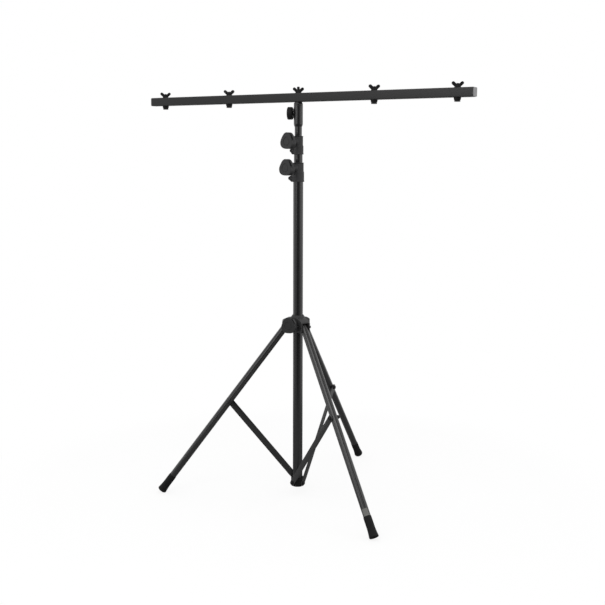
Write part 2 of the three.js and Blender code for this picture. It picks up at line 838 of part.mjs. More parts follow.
// Feet: rubber boots with a flared tip, worn flat where they stand
const footRadius = 16.5;
const footRim = 3;
const footFlare = 38;
const footLength = 72;
const footSleeveWall = 0.9;
const footTipThickness = 14;
const footWear = 0.8;
const footFlareSteps = 3;

const footCentreHeight = (footRadius - footRim) * Math.sin(legAngle)
  + footRim * (1 - Math.cos(legAngle)) - footWear;
const legReach = (hubPivotHeight - footCentreHeight) / Math.cos(legAngle);

// A foot along the leg's axis, its tip's face at Z = 0.
function footBoot() {
  const bore = legTubeRadius + fitGap;
  const sleeve = bore + footSleeveWall;
  const profile = [[0, 0], ...arc(footRim, footRadius - footRim, footRim, -QUARTER, 0)];
  for (let i = 1; i <= footFlareSteps; i++) {
    const share = i / footFlareSteps;
    const radius = sleeve + (footRadius - sleeve) * (1 - share) * (1 - share);
    profile.push([radius, footRim + (footFlare - footRim) * share]);
  }
  profile.push([sleeve, footLength], [bore, footLength], [bore, footTipThickness], [0, footTipThickness]);
  return turned(profile);
}

// Leg pivots: the hub's pin, and the brace's bolt with its dome nut
const legBoltHead = 5.3;
const legNutRadius = 7;
const legNutHeight = 11;
const braceEndOffset = legTubeRadius + fitGap; // inner face of a brace beside its leg
const braceFootOffset = plugFlat + fitGap; // and beside the base plug

function legTube() {
  const foot = -legReach + footTipThickness + fitGap;
  let tube = pipe(legTubeRadius, legTubeRadius - legTubeWall, foot, legOverhang, fineSides);
  for (const z of [0, -legToBrace]) {
    const hole = rod(pivotBoltRadius + fitGap, -legTubeDiameter, legTubeDiameter).rotate([90, 0, 0]);
    tube = cut(tube, hole.translate([0, 0, z]));
  }
  return tube;
}

// Half of a hub pin, from the fork's middle to its head or nut.
function pinEnd(height) {
  const seat = forkHalf + forkGap;
  const chamfer = pinHeadRadius / 4;
  return turned([
    [0, 0],
    [pivotBoltRadius, 0],
    [pivotBoltRadius, seat],
    [pinHeadRadius, seat],
    [pinHeadRadius, seat + height - chamfer],
    [pinHeadRadius - chamfer, seat + height],
    [0, seat + height],
  ], smallSides);
}

// The pin along Y through fork and leg: its nut is on +Y before it is turned.
function hubPin(turn) {
  const head = pinEnd(pinHeadHeight).rotate([90, 0, 0]);
  const nut = pinEnd(pinNutHeight).rotate([-90, 0, 0]);
  return join(head, nut).rotate([0, 0, turn]);
}

function legBolt() {
  const seat = braceEndOffset + braceThickness + fitGap;
  const length = seat + braceEndOffset + legNutHeight / 2;
  const bolt = domedBolt(pivotBoltRadius, length, pivotHeadRadius, legBoltHead, pivotHeadDome);
  return bolt.translate([0, 0, seat]).rotate([90, 0, 0]);
}

function domeNut() {
  const low = braceEndOffset;
  const dome = arc(legNutRadius, 0, low + legNutHeight - legNutRadius, 0, QUARTER);
  const nut = turned([[0, low], [legNutRadius, low], ...dome], smallSides);
  const hole = rod(pivotBoltRadius + fitGap, 0, low + legNutHeight / 2 + fitGap);
  return cut(nut, hole).rotate([-90, 0, 0]);
}

// Braces: flat strips with round ends, bent inwards from the base plug to the leg
const braceFlatFoot = 26; // straight stretch past each pivot
const braceFlatTop = 30;
const braceEndSteps = 8;

function braceStrip() {
  const end = braceWidth / 2;
  const outline = new THREE.Shape();
  outline.absarc(0, 0, end, Math.PI, TURN, false);
  outline.absarc(0, braceLength, end, 0, Math.PI, false);
  const plate = slab(outline, plugRadius * 4, braceEndSteps);
  const bent = new THREE.Shape();
  const inner = [
    [braceFootOffset, -end * 2],
    [braceFootOffset, braceFlatFoot],
    [braceEndOffset, braceLength - braceFlatTop],
    [braceEndOffset, braceLength + end * 2],
  ];
  inner.forEach(([x, z], i) => (i ? bent.lineTo(x, z) : bent.moveTo(x, z)));
  inner.reverse().forEach(([x, z]) => bent.lineTo(x + braceThickness, z));
  bent.closePath();
  const strip = slab(bent, braceWidth * 2).rotate([0, 0, -90]).intersect(plate);
  const holes = [0, braceLength].map((z) => rod(pivotBoltRadius + boltPlay, 0, plugRadius * 2)
    .rotate([90, 0, 0])
    .translate([0, 0, z]));
  return cut(strip, ...holes);
}

function braceBolt() {
  const seat = braceFootOffset + braceThickness + fitGap;
  const length = seat - pivotBoltReach;
  const bolt = domedBolt(pivotBoltRadius, length, pivotHeadRadius, pivotHeadHeight, pivotHeadDome);
  return bolt.translate([0, 0, seat]).rotate([90, 0, 0]);
}

for (const [side, azimuth] of Object.entries(legAzimuths)) {
  const station = group();
  station.rotation.z = radians(azimuth);
  const legGroup = group(station);
  legGroup.position.set(hubPivotRadius, 0, hubPivotHeight);
  legGroup.rotation.y = -legAngle;
  legGroup.updateMatrix();
  const floor = new THREE.BoxGeometry(legReach * 2, legReach, legReach);
  floor.translate(0, 0, -legReach / 2);
  floor.applyMatrix4(legGroup.matrix.clone().invert());
  const boot = footBoot().translate([0, 0, -legReach]);
  place("leg_" + side, legTube(), "powderCoat", legGroup);
  place("foot_" + side, cut(boot, solid(floor)), "rubber", legGroup);
  place("hub_pin_" + side, hubPin(pinNutTurns[side]), "blackSteel", legGroup);
  const joint = group(legGroup);
  joint.position.z = -legToBrace;
  place("leg_bolt_" + side, legBolt(), "blackSteel", joint);
  place("leg_nut_" + side, domeNut(), "blackSteel", joint);
  const braceGroup = group(station);
  braceGroup.position.z = bracePivotHeight;
  braceGroup.rotation.y = braceAngle;
  place("brace_" + side, braceStrip(), "powderCoat", braceGroup);
  place("brace_bolt_" + side, braceBolt(), "blackSteel", braceGroup);
}

export default stand;
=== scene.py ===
import json
import math
from functools import cache

import bmesh
import bpy
from bpy.props import FloatProperty, FloatVectorProperty, IntProperty, PointerProperty
from mathutils import Matrix, Vector


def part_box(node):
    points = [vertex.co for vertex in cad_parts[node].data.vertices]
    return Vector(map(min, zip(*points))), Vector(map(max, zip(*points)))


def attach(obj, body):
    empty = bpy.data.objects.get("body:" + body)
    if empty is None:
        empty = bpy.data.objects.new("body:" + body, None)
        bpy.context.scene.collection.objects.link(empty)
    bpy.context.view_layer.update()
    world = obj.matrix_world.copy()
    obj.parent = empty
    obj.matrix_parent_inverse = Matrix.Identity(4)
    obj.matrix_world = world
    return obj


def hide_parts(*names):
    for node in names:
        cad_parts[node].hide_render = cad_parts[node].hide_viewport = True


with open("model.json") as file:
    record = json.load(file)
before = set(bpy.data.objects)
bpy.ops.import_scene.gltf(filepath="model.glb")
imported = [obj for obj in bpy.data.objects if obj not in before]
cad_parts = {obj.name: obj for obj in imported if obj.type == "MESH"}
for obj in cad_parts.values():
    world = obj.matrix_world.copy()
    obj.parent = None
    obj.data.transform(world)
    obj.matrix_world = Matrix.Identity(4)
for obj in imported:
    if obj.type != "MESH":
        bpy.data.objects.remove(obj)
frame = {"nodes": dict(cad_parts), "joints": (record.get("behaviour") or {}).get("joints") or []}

bl_info = {
    "name": "Lighting stand",
    "version": (1, 0, 0),
    "blender": (4, 5, 0),
    "location": "3D View > Sidebar > Stand",
    "description": "Dresses a folding lighting stand with a cross bar",
    "category": "Object",
}

for spare in ("Cube", "Light", "Camera"):
    if spare in bpy.data.objects:
        bpy.data.objects.remove(bpy.data.objects[spare])

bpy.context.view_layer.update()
JOINTS = {joint["name"]: joint for joint in frame["joints"]}
SIDES = {"left": 180.0, "front": -60.0, "rear": 60.0}
MILLIMETRE = 0.001

# Sizes that several pieces share, in millimetres
GAP = 0.3  # between pieces that touch
OVERRUN = 5.0  # how far a cut runs past what it cuts
THROUGH = 40.0  # half of a cut that goes right through
HOLE_FROM = 6.0  # a knob's hole starts this far from the mast's axis
SCREW, SCREW_HOLE = 4.0, 4.3  # radius of the screws and pins, and of their holes
STUD, STUD_HOLE, STUD_TIP = 5.0, 5.3, 3.0  # radius of the wing nuts' studs, holes and domed tips

# Each wing nut and how far it is turned, in degrees
NUTS = {"1": 12.0, "2": -8.0, "3": 15.0, "4": -5.0, "centre": 0.0}


# Places, in millimetres, read from the frame


def reach(node):
    """The lowest and highest corners of a node."""
    low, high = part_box(node)
    return low / MILLIMETRE, high / MILLIMETRE


def extent(node, place):
    """How far a node reaches along a place's own Z, least and most."""
    inverse = place.inverted()
    corners = frame["nodes"][node].data.vertices
    heights = [(inverse @ (corner.co / MILLIMETRE)).z for corner in corners]
    return min(heights), max(heights)


def pivot(joint):
    return Vector(JOINTS[joint]["pos_m"]) / MILLIMETRE


def turned_about(degrees, axis):
    return Matrix.Rotation(math.radians(degrees), 4, axis)


def along(z):
    return Matrix.Translation((0, 0, z))


def upright(joint, height):
    """Up along a joint's upright axis, from a height."""
    spot = pivot(joint)
    return Matrix.Translation((spot.x, spot.y, height))


def aim(joint, height=None):
    """Out along a knob's axis, from the mast's axis at the knob's height or another."""
    axis = Vector(JOINTS[joint]["axis"])
    turn = Matrix.Rotation(math.atan2(axis.y, axis.x), 4, "Z")
    return along(pivot(joint).z if height is None else height) @ turn @ turned_about(90, "Y")


HUB_PIVOT = pivot("hub_level")
BRACE_PIVOT = pivot("leg_left_fold")
PLUG_PIVOT = pivot("base_fold")
LEG_LEAN = math.degrees(math.atan2(HUB_PIVOT.x - BRACE_PIVOT.x, HUB_PIVOT.z - BRACE_PIVOT.z))
BRACE_LEAN = math.degrees(math.atan2(-BRACE_PIVOT.x, BRACE_PIVOT.z - PLUG_PIVOT.z))
LEG_TO_BRACE = (HUB_PIVOT - BRACE_PIVOT).length
BRACE_LENGTH = (BRACE_PIVOT - PLUG_PIVOT).length
ACROSS = turned_about(90, "X")
BACK = turned_about(-90, "X")


def around(side):
    return turned_about(SIDES[side], "Z")


def leg_place(side):
    """The leg runs down its own Z from the hub's pin."""
    start = Matrix.Translation((-HUB_PIVOT.x, 0, HUB_PIVOT.z))
    return around(side) @ start @ turned_about(-LEG_LEAN, "Y")


def brace_place(side):
    """The brace runs up its own Z from the base plug's bolt."""
    return around(side) @ along(PLUG_PIVOT.z) @ turned_about(BRACE_LEAN, "Y")


def bar_place():
    """The bar lies along its own X, at its middle height."""
    low, high = reach("cross_bar")
    run = pivot("nut_4_turn") - pivot("nut_1_turn")
    return along((low.z + high.z) / 2) @ Matrix.Rotation(math.atan2(run.y, run.x), 4, "Z")


# Skins


def softened(corners, cut=0.0, steps=4, looped=False):
    """A polyline with rounded corners. Each round starts at cut from its corner, or at the
    corner's own third number."""
    made = []
    points = [Vector(corner[:2]) for corner in corners]
    for i, here in enumerate(points):
        off = corners[i][2] if len(corners[i]) > 2 else cut
        if off <= 0 or (not looped and i in (0, len(points) - 1)):
            made.append(tuple(here))
            continue
        before = points[i - 1] - here
        after = points[(i + 1) % len(points)] - here
        start = here + before.normalized() * min(off, before.length / 2)
        end = here + after.normalized() * min(off, after.length / 2)
        for k in range(steps + 1):
            t = k / steps
            made.append(tuple(start * (1 - t) ** 2 + here * 2 * t * (1 - t) + end * t * t))
    return made


def supported(points, margin=1.5, looped=False):
    """The polyline with a point near each end of its long runs, so that wear stays at edges."""
    made = []
    count = len(points)
    for i, point in enumerate(points):
        here = Vector(point)
        made.append(tuple(here))
        if i == count - 1 and not looped:
            break
        run = Vector(points[(i + 1) % count]) - here
        if run.length > margin * 4:
            step = run.normalized() * margin
            made.append(tuple(here + step))
            made.append(tuple(here + run - step))
    return made


def polar(radius, angle):
    return radius * math.cos(angle), radius * math.sin(angle)


def eased(part):
    """0 below 0, 1 above 1 and a smooth climb between."""
    part = min(max(part, 0.0), 1.0)
    return part * part * (3 - 2 * part)


def circle(radius, sides, height=0.0):
    return [(*polar(radius, math.tau * j / sides), height) for j in range(sides)]


def lifted(outline, z):
    return [(x, y, z) for x, y in outline]


def square(half):
    return [(half, -half), (half, half), (-half, half), (-half, -half)]


def rounded_square(size, corner):
    return softened(square(size / 2), corner, 6, looped=True)


class Form:
    """Closed skins of one piece, in millimetres."""

    def __init__(self):
        self.points = []
        self.faces = []

    def loft(self, rings, place=Matrix(), looped=False):
        """Skins equal rings one after another; a run that isn't looped is capped."""
        start = len(self.points)
        count = len(rings[0])
        for ring in rings:
            self.points += [place @ Vector(point) for point in ring]
        for i in range(len(rings) if looped else len(rings) - 1):
            near = start + i * count
            far = start + (i + 1) % len(rings) * count
            for j in range(count):
                k = (j + 1) % count
                self.faces.append((near + j, near + k, far + k, far + j))
        if not looped:
            end = start + (len(rings) - 1) * count
            self.faces.append(tuple(range(start, start + count))[::-1])
            self.faces.append(tuple(range(end, end + count)))
        return self

    def turn(self, profile, sides=64, place=Matrix(), looped=False):
        """A profile of (radius, height) turned about Z."""
        rings = [circle(radius, sides, height)
                 for radius, height in supported(profile, looped=looped)]
        return self.loft(rings, place, looped)

    def rod(self, radius, low, high, sides=64, place=Matrix(), edge=0.0):
        corners = [(0, low), (radius, low), (radius, high), (0, high)]
        return self.turn(softened(corners, edge), sides, place)

    def pipe(self, outer, inner, low, high, sides, place=Matrix()):
        corners = [(inner, low), (outer, low), (outer, high), (inner, high)]
        return self.turn(softened(corners, 0.4, 3, looped=True), sides, place, looped=True)

    def prism(self, outline, low, high, place=Matrix()):
        """An outline in X and Y, raised from low to high."""
        return self.loft([lifted(outline, low), lifted(outline, high)], place)

    def hexagon(self, flats, low, high, place=Matrix()):
        """A bolt head or nut with its corners chamfered at both ends."""
        corner = flats / 2 / math.cos(math.radians(30))
        return self.turn([
            (0, low), (flats / 2, low), (corner, low + 0.6), (corner, high - 0.6),
            (flats / 2 * 0.98, high), (0, high),
        ], 6, place)

    def thread(self, radius, low, high, pitch, place=Matrix(), tip=0.0):
        """A threaded stud, domed over its tip; pitch is in metres."""
        rings = []
        pitch, sides = pitch / MILLIMETRE, 40
        steps = max(2, round((high - low) / pitch * 6))
        depth = pitch * 0.45
        for i in range(steps + 1):
            height = low + (high - low) * i / steps
            left = high - height
            dome = math.sqrt(max(0.0, 1 - (1 - left / tip) ** 2)) if left < tip else 1.0
            ring = []
            for j in range(sides):
                phase = (height / pitch - j / sides) % 1
                wide = (radius - depth * abs(2 * phase - 1)) * dome
                ring.append((*polar(wide, math.tau * j / sides), height))
            rings.append(ring)
        return self.loft(rings, place)

    def screw(self, seat, radius, height, depth, place):
        """A domed screw with a round socket: its head's seat, and its shaft's depth below."""
        tail = seat - depth
        crown = softened([
            (radius, seat), (radius, seat + height * 0.72), (radius * 0.7, seat + height),
            (2.6, seat + height),
        ], 1.4, 4)
        profile = [(0, tail), (SCREW - 0.4, tail), (SCREW, tail + 0.4), (SCREW, seat)]
        well = [(2.5, seat + height - 2.4), (0, seat + height - 3)]
        return self.turn(profile + crown + well, 48, place)

    def mesh(self, name):
        """The skins as a mesh in metres."""
        made = bpy.data.meshes.new(name)
        bm = bmesh.new()
        corners = [bm.verts.new(point * MILLIMETRE) for point in self.points]
        for face in self.faces:
            bm.faces.new([corners[i] for i in face])
        bmesh.ops.remove_doubles(bm, verts=bm.verts, dist=2e-6)
        bmesh.ops.dissolve_degenerate(bm, edges=bm.edges, dist=1e-6)
        bmesh.ops.recalc_face_normals(bm, faces=bm.faces)
        bm.to_mesh(made)
        bm.free()
        return made


def blank(form):
    obj = bpy.data.objects.new("piece", form.mesh("piece"))
    bpy.context.scene.collection.objects.link(obj)
    return obj


def applied(obj):
    """Replaces an object's mesh by what its modifiers make of it."""
    graph = bpy.context.evaluated_depsgraph_get()
    fresh = bpy.data.meshes.new_from_object(obj.evaluated_get(graph))
    old = obj.data
    obj.modifiers.clear()
    obj.data = fresh
    bpy.data.meshes.remove(old)


def carve(obj, form, operation="DIFFERENCE"):
    """Cuts a form out of an object, or joins it on."""
    tool = blank(form)
    change = obj.modifiers.new("carve", "BOOLEAN")
    change.operation = operation
    change.solver = "MANIFOLD"
    change.object = tool
    applied(obj)
    skin = tool.data
    bpy.data.objects.remove(tool)
    bpy.data.meshes.remove(skin)


def drill(obj, radius, low, high, place=Matrix(), sides=40):
    """A round hole along a place's Z."""
    carve(obj, Form().rod(radius, low, high, sides, place))


def cast(obj, voxel, passes):
    """Melts joined skins into one casting with filleted corners."""
    change = obj.modifiers.new("melt", "REMESH")
    change.mode = "VOXEL"
    change.voxel_size = voxel
    ease = obj.modifiers.new("ease", "SMOOTH")
    ease.factor = 0.5
    ease.iterations = passes
    applied(obj)


def mark_edges(mesh):
    """Stores how sharp each outer edge is, for the wear in the finishes."""
    bm = bmesh.new()
    bm.from_mesh(mesh)
    layer = bm.verts.layers.float.new("edge")
    for edge in bm.edges:
        if len(edge.link_faces) != 2:
            continue
        turn = math.degrees(edge.calc_face_angle_signed(0.0))
        worn = min(max((turn - 9) / 24, 0.0), 1.0)
        for corner in edge.verts:
            corner[layer] = max(corner[layer], worn)
    bm.to_mesh(mesh)
    bm.free()


def show(name, obj, finish, body, *nodes, sharp=34):
    """Finishes a piece, seats it on its body and lets it stand for its nodes."""
    obj.name = name
    obj.data.name = name
    mark_edges(obj.data)
    obj.data.shade_smooth()
    obj.data.set_sharp_from_angle(angle=math.radians(sharp))
    mix, slot = FINISHES[finish]
    obj.data.materials.clear()
    obj.data.materials.append(mix())
    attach(obj, body)
    if nodes:
        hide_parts(*nodes)


def piece(name, form, finish, body, *nodes, sharp=34):
    show(name, blank(form), finish, body, *nodes, sharp=sharp)


# Shader sums


class Tap:
    """A shader socket that takes part in sums."""

    def __init__(self, recipe, socket):
        self.recipe = recipe
        self.socket = socket

    def sum(self, operation, first, second=0.0):
        return self.recipe.add("Math", {"operation": operation}, {0: first, 1: second})

    def __add__(self, other):
        return self.sum("ADD", self, other)

    __radd__ = __add__

    def __sub__(self, other):
        return self.sum("SUBTRACT", self, other)

    def __rsub__(self, other):
        return self.sum("SUBTRACT", other, self)

    def __mul__(self, other):
        return self.sum("MULTIPLY", self, other)

    __rmul__ = __mul__

    def __neg__(self):
        return self.sum("MULTIPLY", self, -1.0)

    def __abs__(self):
        return self.sum("ABSOLUTE", self)

    def part(self, axis):
        """One of a vector's three numbers."""
        return self.recipe.add("SeparateXYZ", None, {0: self}, output=axis)


class Recipe:
    """Shader nodes under construction in one tree."""

    def __init__(self, tree):
        self.tree = tree
        self.tree.nodes.clear()

    def add(self, kind, settings=None, values=None, output=0):
        """Adds a node; its settings come first, then the values or links of its sockets."""
        node = self.tree.nodes.new("ShaderNode" + kind)
        for key, value in (settings or {}).items():
            setattr(node, key, value)
        for key, value in (values or {}).items():
            self.feed(node.inputs[key], value)
        return Tap(self, node.outputs[output]) if len(node.outputs) else None

    def feed(self, socket, value):
        if isinstance(value, Tap):
            self.tree.links.new(value.socket, socket)
        elif socket.type == "RGBA":
            socket.default_value = (*value[:3], 1.0)
        else:
            socket.default_value = value

    def rise(self, value, low, high):
        """0 below low, 1 above high and a smooth climb between."""
        values = {"Value": value, "From Min": low, "From Max": high}
        return self.add("MapRange", {"interpolation_type": "SMOOTHSTEP"}, values)

    def ray(self, kind):
        return self.add("LightPath", output=f"Is {kind} Ray")

    def blend(self, factor, first, second):
        """One colour turning into another."""
        values = {0: factor, 6: first, 7: second}
        return self.add("Mix", {"data_type": "RGBA"}, values, output=2)

    def shade(self, colour, factor):
        """A colour made lighter or darker by a factor."""
        settings = {"data_type": "RGBA", "blend_type": "MULTIPLY"}
        grey = self.add("CombineColor", None, {0: factor, 1: factor, 2: factor})
        return self.add("Mix", settings, {0: 1.0, 6: colour, 7: grey}, output=2)


class Finish(Recipe):
    """A material under construction."""

    def __init__(self, name, specular):
        self.material = bpy.data.materials.new(name)
        self.material.use_nodes = True
        super().__init__(self.material.node_tree)
        self.place = self.add("TexCoord", output="Object")
        self.specular = specular

    def shader(self, colour, rough, **values):
        sockets = {"Base Color": colour, "Roughness": rough, "Specular IOR Level": self.specular}
        return self.add("BsdfPrincipled", None, {**sockets, **values})

    def coat(self, colour, rough, normal, worn=None):
        """The finished material; it turns to metal where it is worn."""
        values = {} if worn is None else {"Metallic": worn * 0.8}
        return self.done(self.shader(colour, rough, Normal=normal, **values))

    def done(self, shader):
        self.add("OutputMaterial", None, {"Surface": shader})
        return self.material

    def paint(self, name, factor):
        """One of the stand's colours, made lighter or darker by a factor."""
        return self.shade(getattr(stand().colours, name), factor)

    def noise(self, size, detail=2.0, stretch=(1, 1, 1), roughness=0.5):
        """Noise whose blobs are about size millimetres, longer where stretch is small."""
        place = self.add("Mapping", None, {"Vector": self.place, "Scale": stretch})
        values = {"Vector": place, "Scale": 1 / (size * MILLIMETRE), "Detail": detail,
                  "Roughness": roughness}
        return self.add("TexNoise", None, values)

    def edge(self):
        return self.add("Attribute", {"attribute_name": "edge"}, output="Fac")

    def upward(self):
        """1 where a surface faces up, 0 where it doesn't."""
        normal = self.add("NewGeometry", output="Normal")
        return self.rise(normal.part("Z"), 0.35, 0.95)

    def bump(self, height, strength, depth):
        values = {"Strength": strength, "Distance": depth * MILLIMETRE, "Height": height}
        return self.add("Bump", None, values)

    def rubbed(self, tint, amount, size=1.2):
        """A colour worn to bare metal where noise and an outer edge meet, and the mask."""
        patchy = self.rise(self.noise(size, 4.0), 0.42, 0.62)
        mask = self.edge() * patchy * (amount * stand().wear.edges)
        return self.blend(mask, tint, stand().colours.bare), mask

    def dusted(self, tint, amount=1.0):
        """A colour with dust on what faces up, and the mask."""
        mask = self.upward() * self.noise(9, 5.0) * (amount * stand().wear.dust)
        return self.blend(mask, tint, stand().colours.dust), mask


# Sizes and colours that a user would change


def colour(name, description, value):
    return FloatVectorProperty(name=name, description=description, default=value, size=3,
                               subtype="COLOR", min=0.0, max=1.0)


def share(name, description, value):
    return FloatProperty(name=name, description=description, default=value, min=0.0, max=1.0,
                         subtype="FACTOR")


def length(name, description, value):
    return FloatProperty(name=name, description=description, default=value, min=0.0,
                         unit="LENGTH", precision=5)


def power(name, description, value):
    return FloatProperty(name=name, description=description, default=value, unit="POWER")


class StandColours(bpy.types.PropertyGroup):
    powder: colour("Powder coat", "Tubes, sleeve and braces", (0.0092, 0.0092, 0.0096))
    bar: colour("Bar coat", "The cross bar", (0.0115, 0.0115, 0.0119))
    casting: colour("Casting paint", "Hub, clamps and pinch bolts", (0.034, 0.034, 0.035))
    knob: colour("Knob plastic", "Hand knobs and clamp bushes", (0.019, 0.019, 0.0196))
    matt: colour("Dull plastic", "Small knob, wing nuts, guides, plug", (0.008, 0.008, 0.0083))
    plug: colour("End plug", "The bar's end plugs", (0.25, 0.25, 0.252))
    rubber: colour("Rubber", "Feet and the bushes under the bar", (0.007, 0.007, 0.0073))
    steel: colour("Blackened steel", "Bolts, pins, studs and nuts", (0.009, 0.009, 0.0095))
    bare: colour("Bare metal", "Where the finish has worn off", (0.20, 0.195, 0.19))
    sticker: colour("Blank sticker", "The plain sticker on the front leg", (0.15, 0.15, 0.14))
    dust: colour("Dust", "Dust on faces that look up", (0.16, 0.155, 0.145))


class StandWear(bpy.types.PropertyGroup):
    edges: share("Edge wear", "How much finish is rubbed off the edges", 0.2)
    dust: share("Dust", "How much dust lies on the stand", 0.12)
    scuffs: share("Scuffs", "How strongly the tubes are scuffed along their length", 0.3)


class StandDetail(bpy.types.PropertyGroup):
    sides: IntProperty(name="Round sides", default=72, min=24,
                       description="Sides to each tube and to the sleeve")
    voxel: length("Casting fineness", "Voxel size of the castings", 0.00065)
    nut_voxel: length("Nut fineness", "Voxel size of the wing nuts", 0.0004)
    stud_pitch: length("Thread pitch", "Pitch of the thick studs", 0.0015)
    screw_pitch: length("Screw pitch", "Pitch of the knob screws", 0.00125)


class StandStage(bpy.types.PropertyGroup):
    floor: length("Floor", "Radius of the round floor", 1.3)
    key: power("Key light", "Left softbox", 18.0)
    fill: power("Fill light", "Right softbox", 10.0)
    top: power("Top light", "Softbox above the camera", 11.0)
    room: share("Room light", "Strength of the even light around the stand", 0.88)
    focal: FloatProperty(name="Focal length", description="The camera's lens", default=56.105,
                         unit="CAMERA")


class Stand(bpy.types.PropertyGroup):
    colours: PointerProperty(type=StandColours)
    wear: PointerProperty(type=StandWear)
    detail: PointerProperty(type=StandDetail)
    stage: PointerProperty(type=StandStage)


def stand():
    return bpy.context.scene.lighting_stand


# Finishes, each mixed the first time that it is asked for


@cache
def powder_coat():
    f = Finish("powder_coat", 0.8)
    cloud = f.noise(55, 3.0)
    peel = f.noise(0.8)
    scuff = f.rise(f.noise(2.2, 4.0, (1, 1, 0.02)), 0.56, 0.72) * stand().wear.scuffs
    tint = f.paint("powder", 0.8 + cloud * 0.4 + scuff * 0.5)
    tint, worn = f.rubbed(tint, 0.8)
    tint, dust = f.dusted(tint)
    rough = 0.19 + peel * 0.05 + cloud * 0.04 + scuff * 0.1 + dust * 0.4 + worn * 0.1
    return f.coat(tint, rough, f.bump(peel, 0.05, 0.04), worn)


@cache
def bar_coat():
    f = Finish("bar_coat", 0.5)
    cloud = f.noise(70, 4.0)
    grain = f.noise(0.6, 3.0)
    tint = f.paint("bar", 0.8 + cloud * 0.34 + grain * 0.06)
    tint, worn = f.rubbed(tint, 0.9)
    tint, dust = f.dusted(tint, 0.6)
    rough = 0.36 + grain * 0.06 + cloud * 0.05 + dust * 0.4 + worn * 0.1
    return f.coat(tint, rough, f.bump(grain, 0.4, 0.05), worn)


@cache
def casting():
    f = Finish("casting", 0.3)
    cloud = f.noise(18, 4.0)
    grain = f.noise(0.9, 4.0, roughness=0.65)
    tint = f.paint("casting", 0.78 + cloud * 0.34 + grain * 0.12)
    tint, worn = f.rubbed(tint, 0.9, 2.0)
    tint, dust = f.dusted(tint)
    rough = 0.48 + grain * 0.16 + dust * 0.3
    return f.coat(tint, rough, f.bump(grain, 0.5, 0.12), worn)


@cache
def knob_plastic():
    f = Finish("knob_plastic", 0.33)
    cloud = f.noise(14, 3.0)
    grain = f.noise(0.35)
    pale = f.edge() * f.noise(1.5, 3.0) * stand().wear.edges
    tint = f.paint("knob", 0.85 + cloud * 0.3 + pale * 1.6)
    tint, dust = f.dusted(tint)
    rough = 0.27 + grain * 0.08 + cloud * 0.05 + dust * 0.3
    return f.coat(tint, rough, f.bump(grain, 0.3, 0.04))


@cache
def matt_plastic():
    f = Finish("matt_plastic", 0.2)
    cloud = f.noise(8, 3.0)
    grain = f.noise(0.5, 3.0)
    tint = f.paint("matt", 0.8 + cloud * 0.4)
    tint, dust = f.dusted(tint, 0.6)
    rough = 0.46 + grain * 0.12 + cloud * 0.06
    return f.coat(tint, rough, f.bump(grain, 0.35, 0.06))


@cache
def plug_plastic():
    f = Finish("plug_plastic", 0.4)
    cloud = f.noise(11, 4.0)
    grain = f.noise(0.4)
    tint = f.paint("plug", 0.86 + cloud * 0.26)
    tint, dust = f.dusted(tint)
    rough = 0.48 + grain * 0.12 + cloud * 0.06
    return f.coat(tint, rough, f.bump(grain, 0.3, 0.05))


@cache
def black_rubber():
    f = Finish("black_rubber", 0.22)
    cloud = f.noise(12, 5.0)
    grain = f.noise(0.5, 3.0)
    bloom = f.rise(f.noise(6, 5.0), 0.45, 0.8)
    tint = f.paint("rubber", 0.8 + cloud * 0.4 + bloom * 0.4)
    tint, dust = f.dusted(tint, 0.6)
    rough = 0.54 + grain * 0.12 + bloom * 0.08
    return f.coat(tint, rough, f.bump(grain, 0.5, 0.08))


@cache
def black_steel():
    f = Finish("black_steel", 0.3)
    cloud = f.noise(5, 4.0)
    grain = f.noise(0.3, 3.0)
    tint = f.paint("steel", 0.8 + cloud * 0.45)
    tint, worn = f.rubbed(tint, 0.8, 0.8)
    rough = 0.36 + grain * 0.1 + cloud * 0.1
    return f.coat(tint, rough, f.bump(grain, 0.25, 0.03), worn)


@cache
def blank_sticker():
    f = Finish("blank_sticker", 0.4)
    cloud = f.noise(7, 3.0)
    crease = f.rise(f.noise(4, 5.0, (1, 1, 0.4)), 0.5, 0.7)
    tint = f.paint("sticker", 0.86 + cloud * 0.24 + crease * 0.08)
    rough = 0.34 + cloud * 0.12 + crease * 0.1
    return f.coat(tint, rough, f.bump(crease, 0.3, 0.08))


# Each finish with the record's slot that it stands for
FINISHES = {
    "powder": (powder_coat, "powder_coat"),
    "bar": (bar_coat, "bar_coat"),
    "casting": (casting, "casting"),
    "knob": (knob_plastic, "black_plastic"),
    "matt": (matt_plastic, "black_plastic"),
    "plug": (plug_plastic, "grey_plastic"),
    "rubber": (black_rubber, "black_rubber"),
    "steel": (black_steel, "black_steel"),
    "sticker": (blank_sticker, "grey_plastic"),
}


# Mast


class STAND_OT_tubes(bpy.types.Operator):
    """Builds the three mast tubes and their guides"""
    bl_idname = "stand.tubes"
    bl_label = "Mast tubes"

    WALL = 1.8
    GUIDE_BORE = 6.0

    def execute(self, context):
        self.tube("lower_tube", "base")
        self.tube("middle_tube", "middle_mast")
        self.tube("top_tube", "top_mast")
        self.guide("middle_guide", "middle_mast", "middle_tube")
        self.guide("top_guide", "top_mast", "top_tube")
        return {"FINISHED"}

    def tube(self, node, body):
        low, high = reach(node)
        form = Form().pipe(high.x, high.x - self.WALL, low.z, high.z, stand().detail.sides)
        piece(node.replace("tube", "mast_tube"), form, "powder", body, node)

    def guide(self, node, body, tube):
        low, high = reach(node)
        foot, mouth = reach(tube)
        inside, shelf = mouth.x - self.WALL - GAP, foot.z - GAP
        profile = [(self.GUIDE_BORE, low.z), (high.x, low.z), (high.x, shelf), (inside, shelf),
                   (inside, high.z), (self.GUIDE_BORE, high.z)]
        form = Form().turn(softened(profile, 0.5, 3, looped=True), 48, looped=True)
        piece(node.replace("guide", "slide_guide"), form, "matt", body, node)


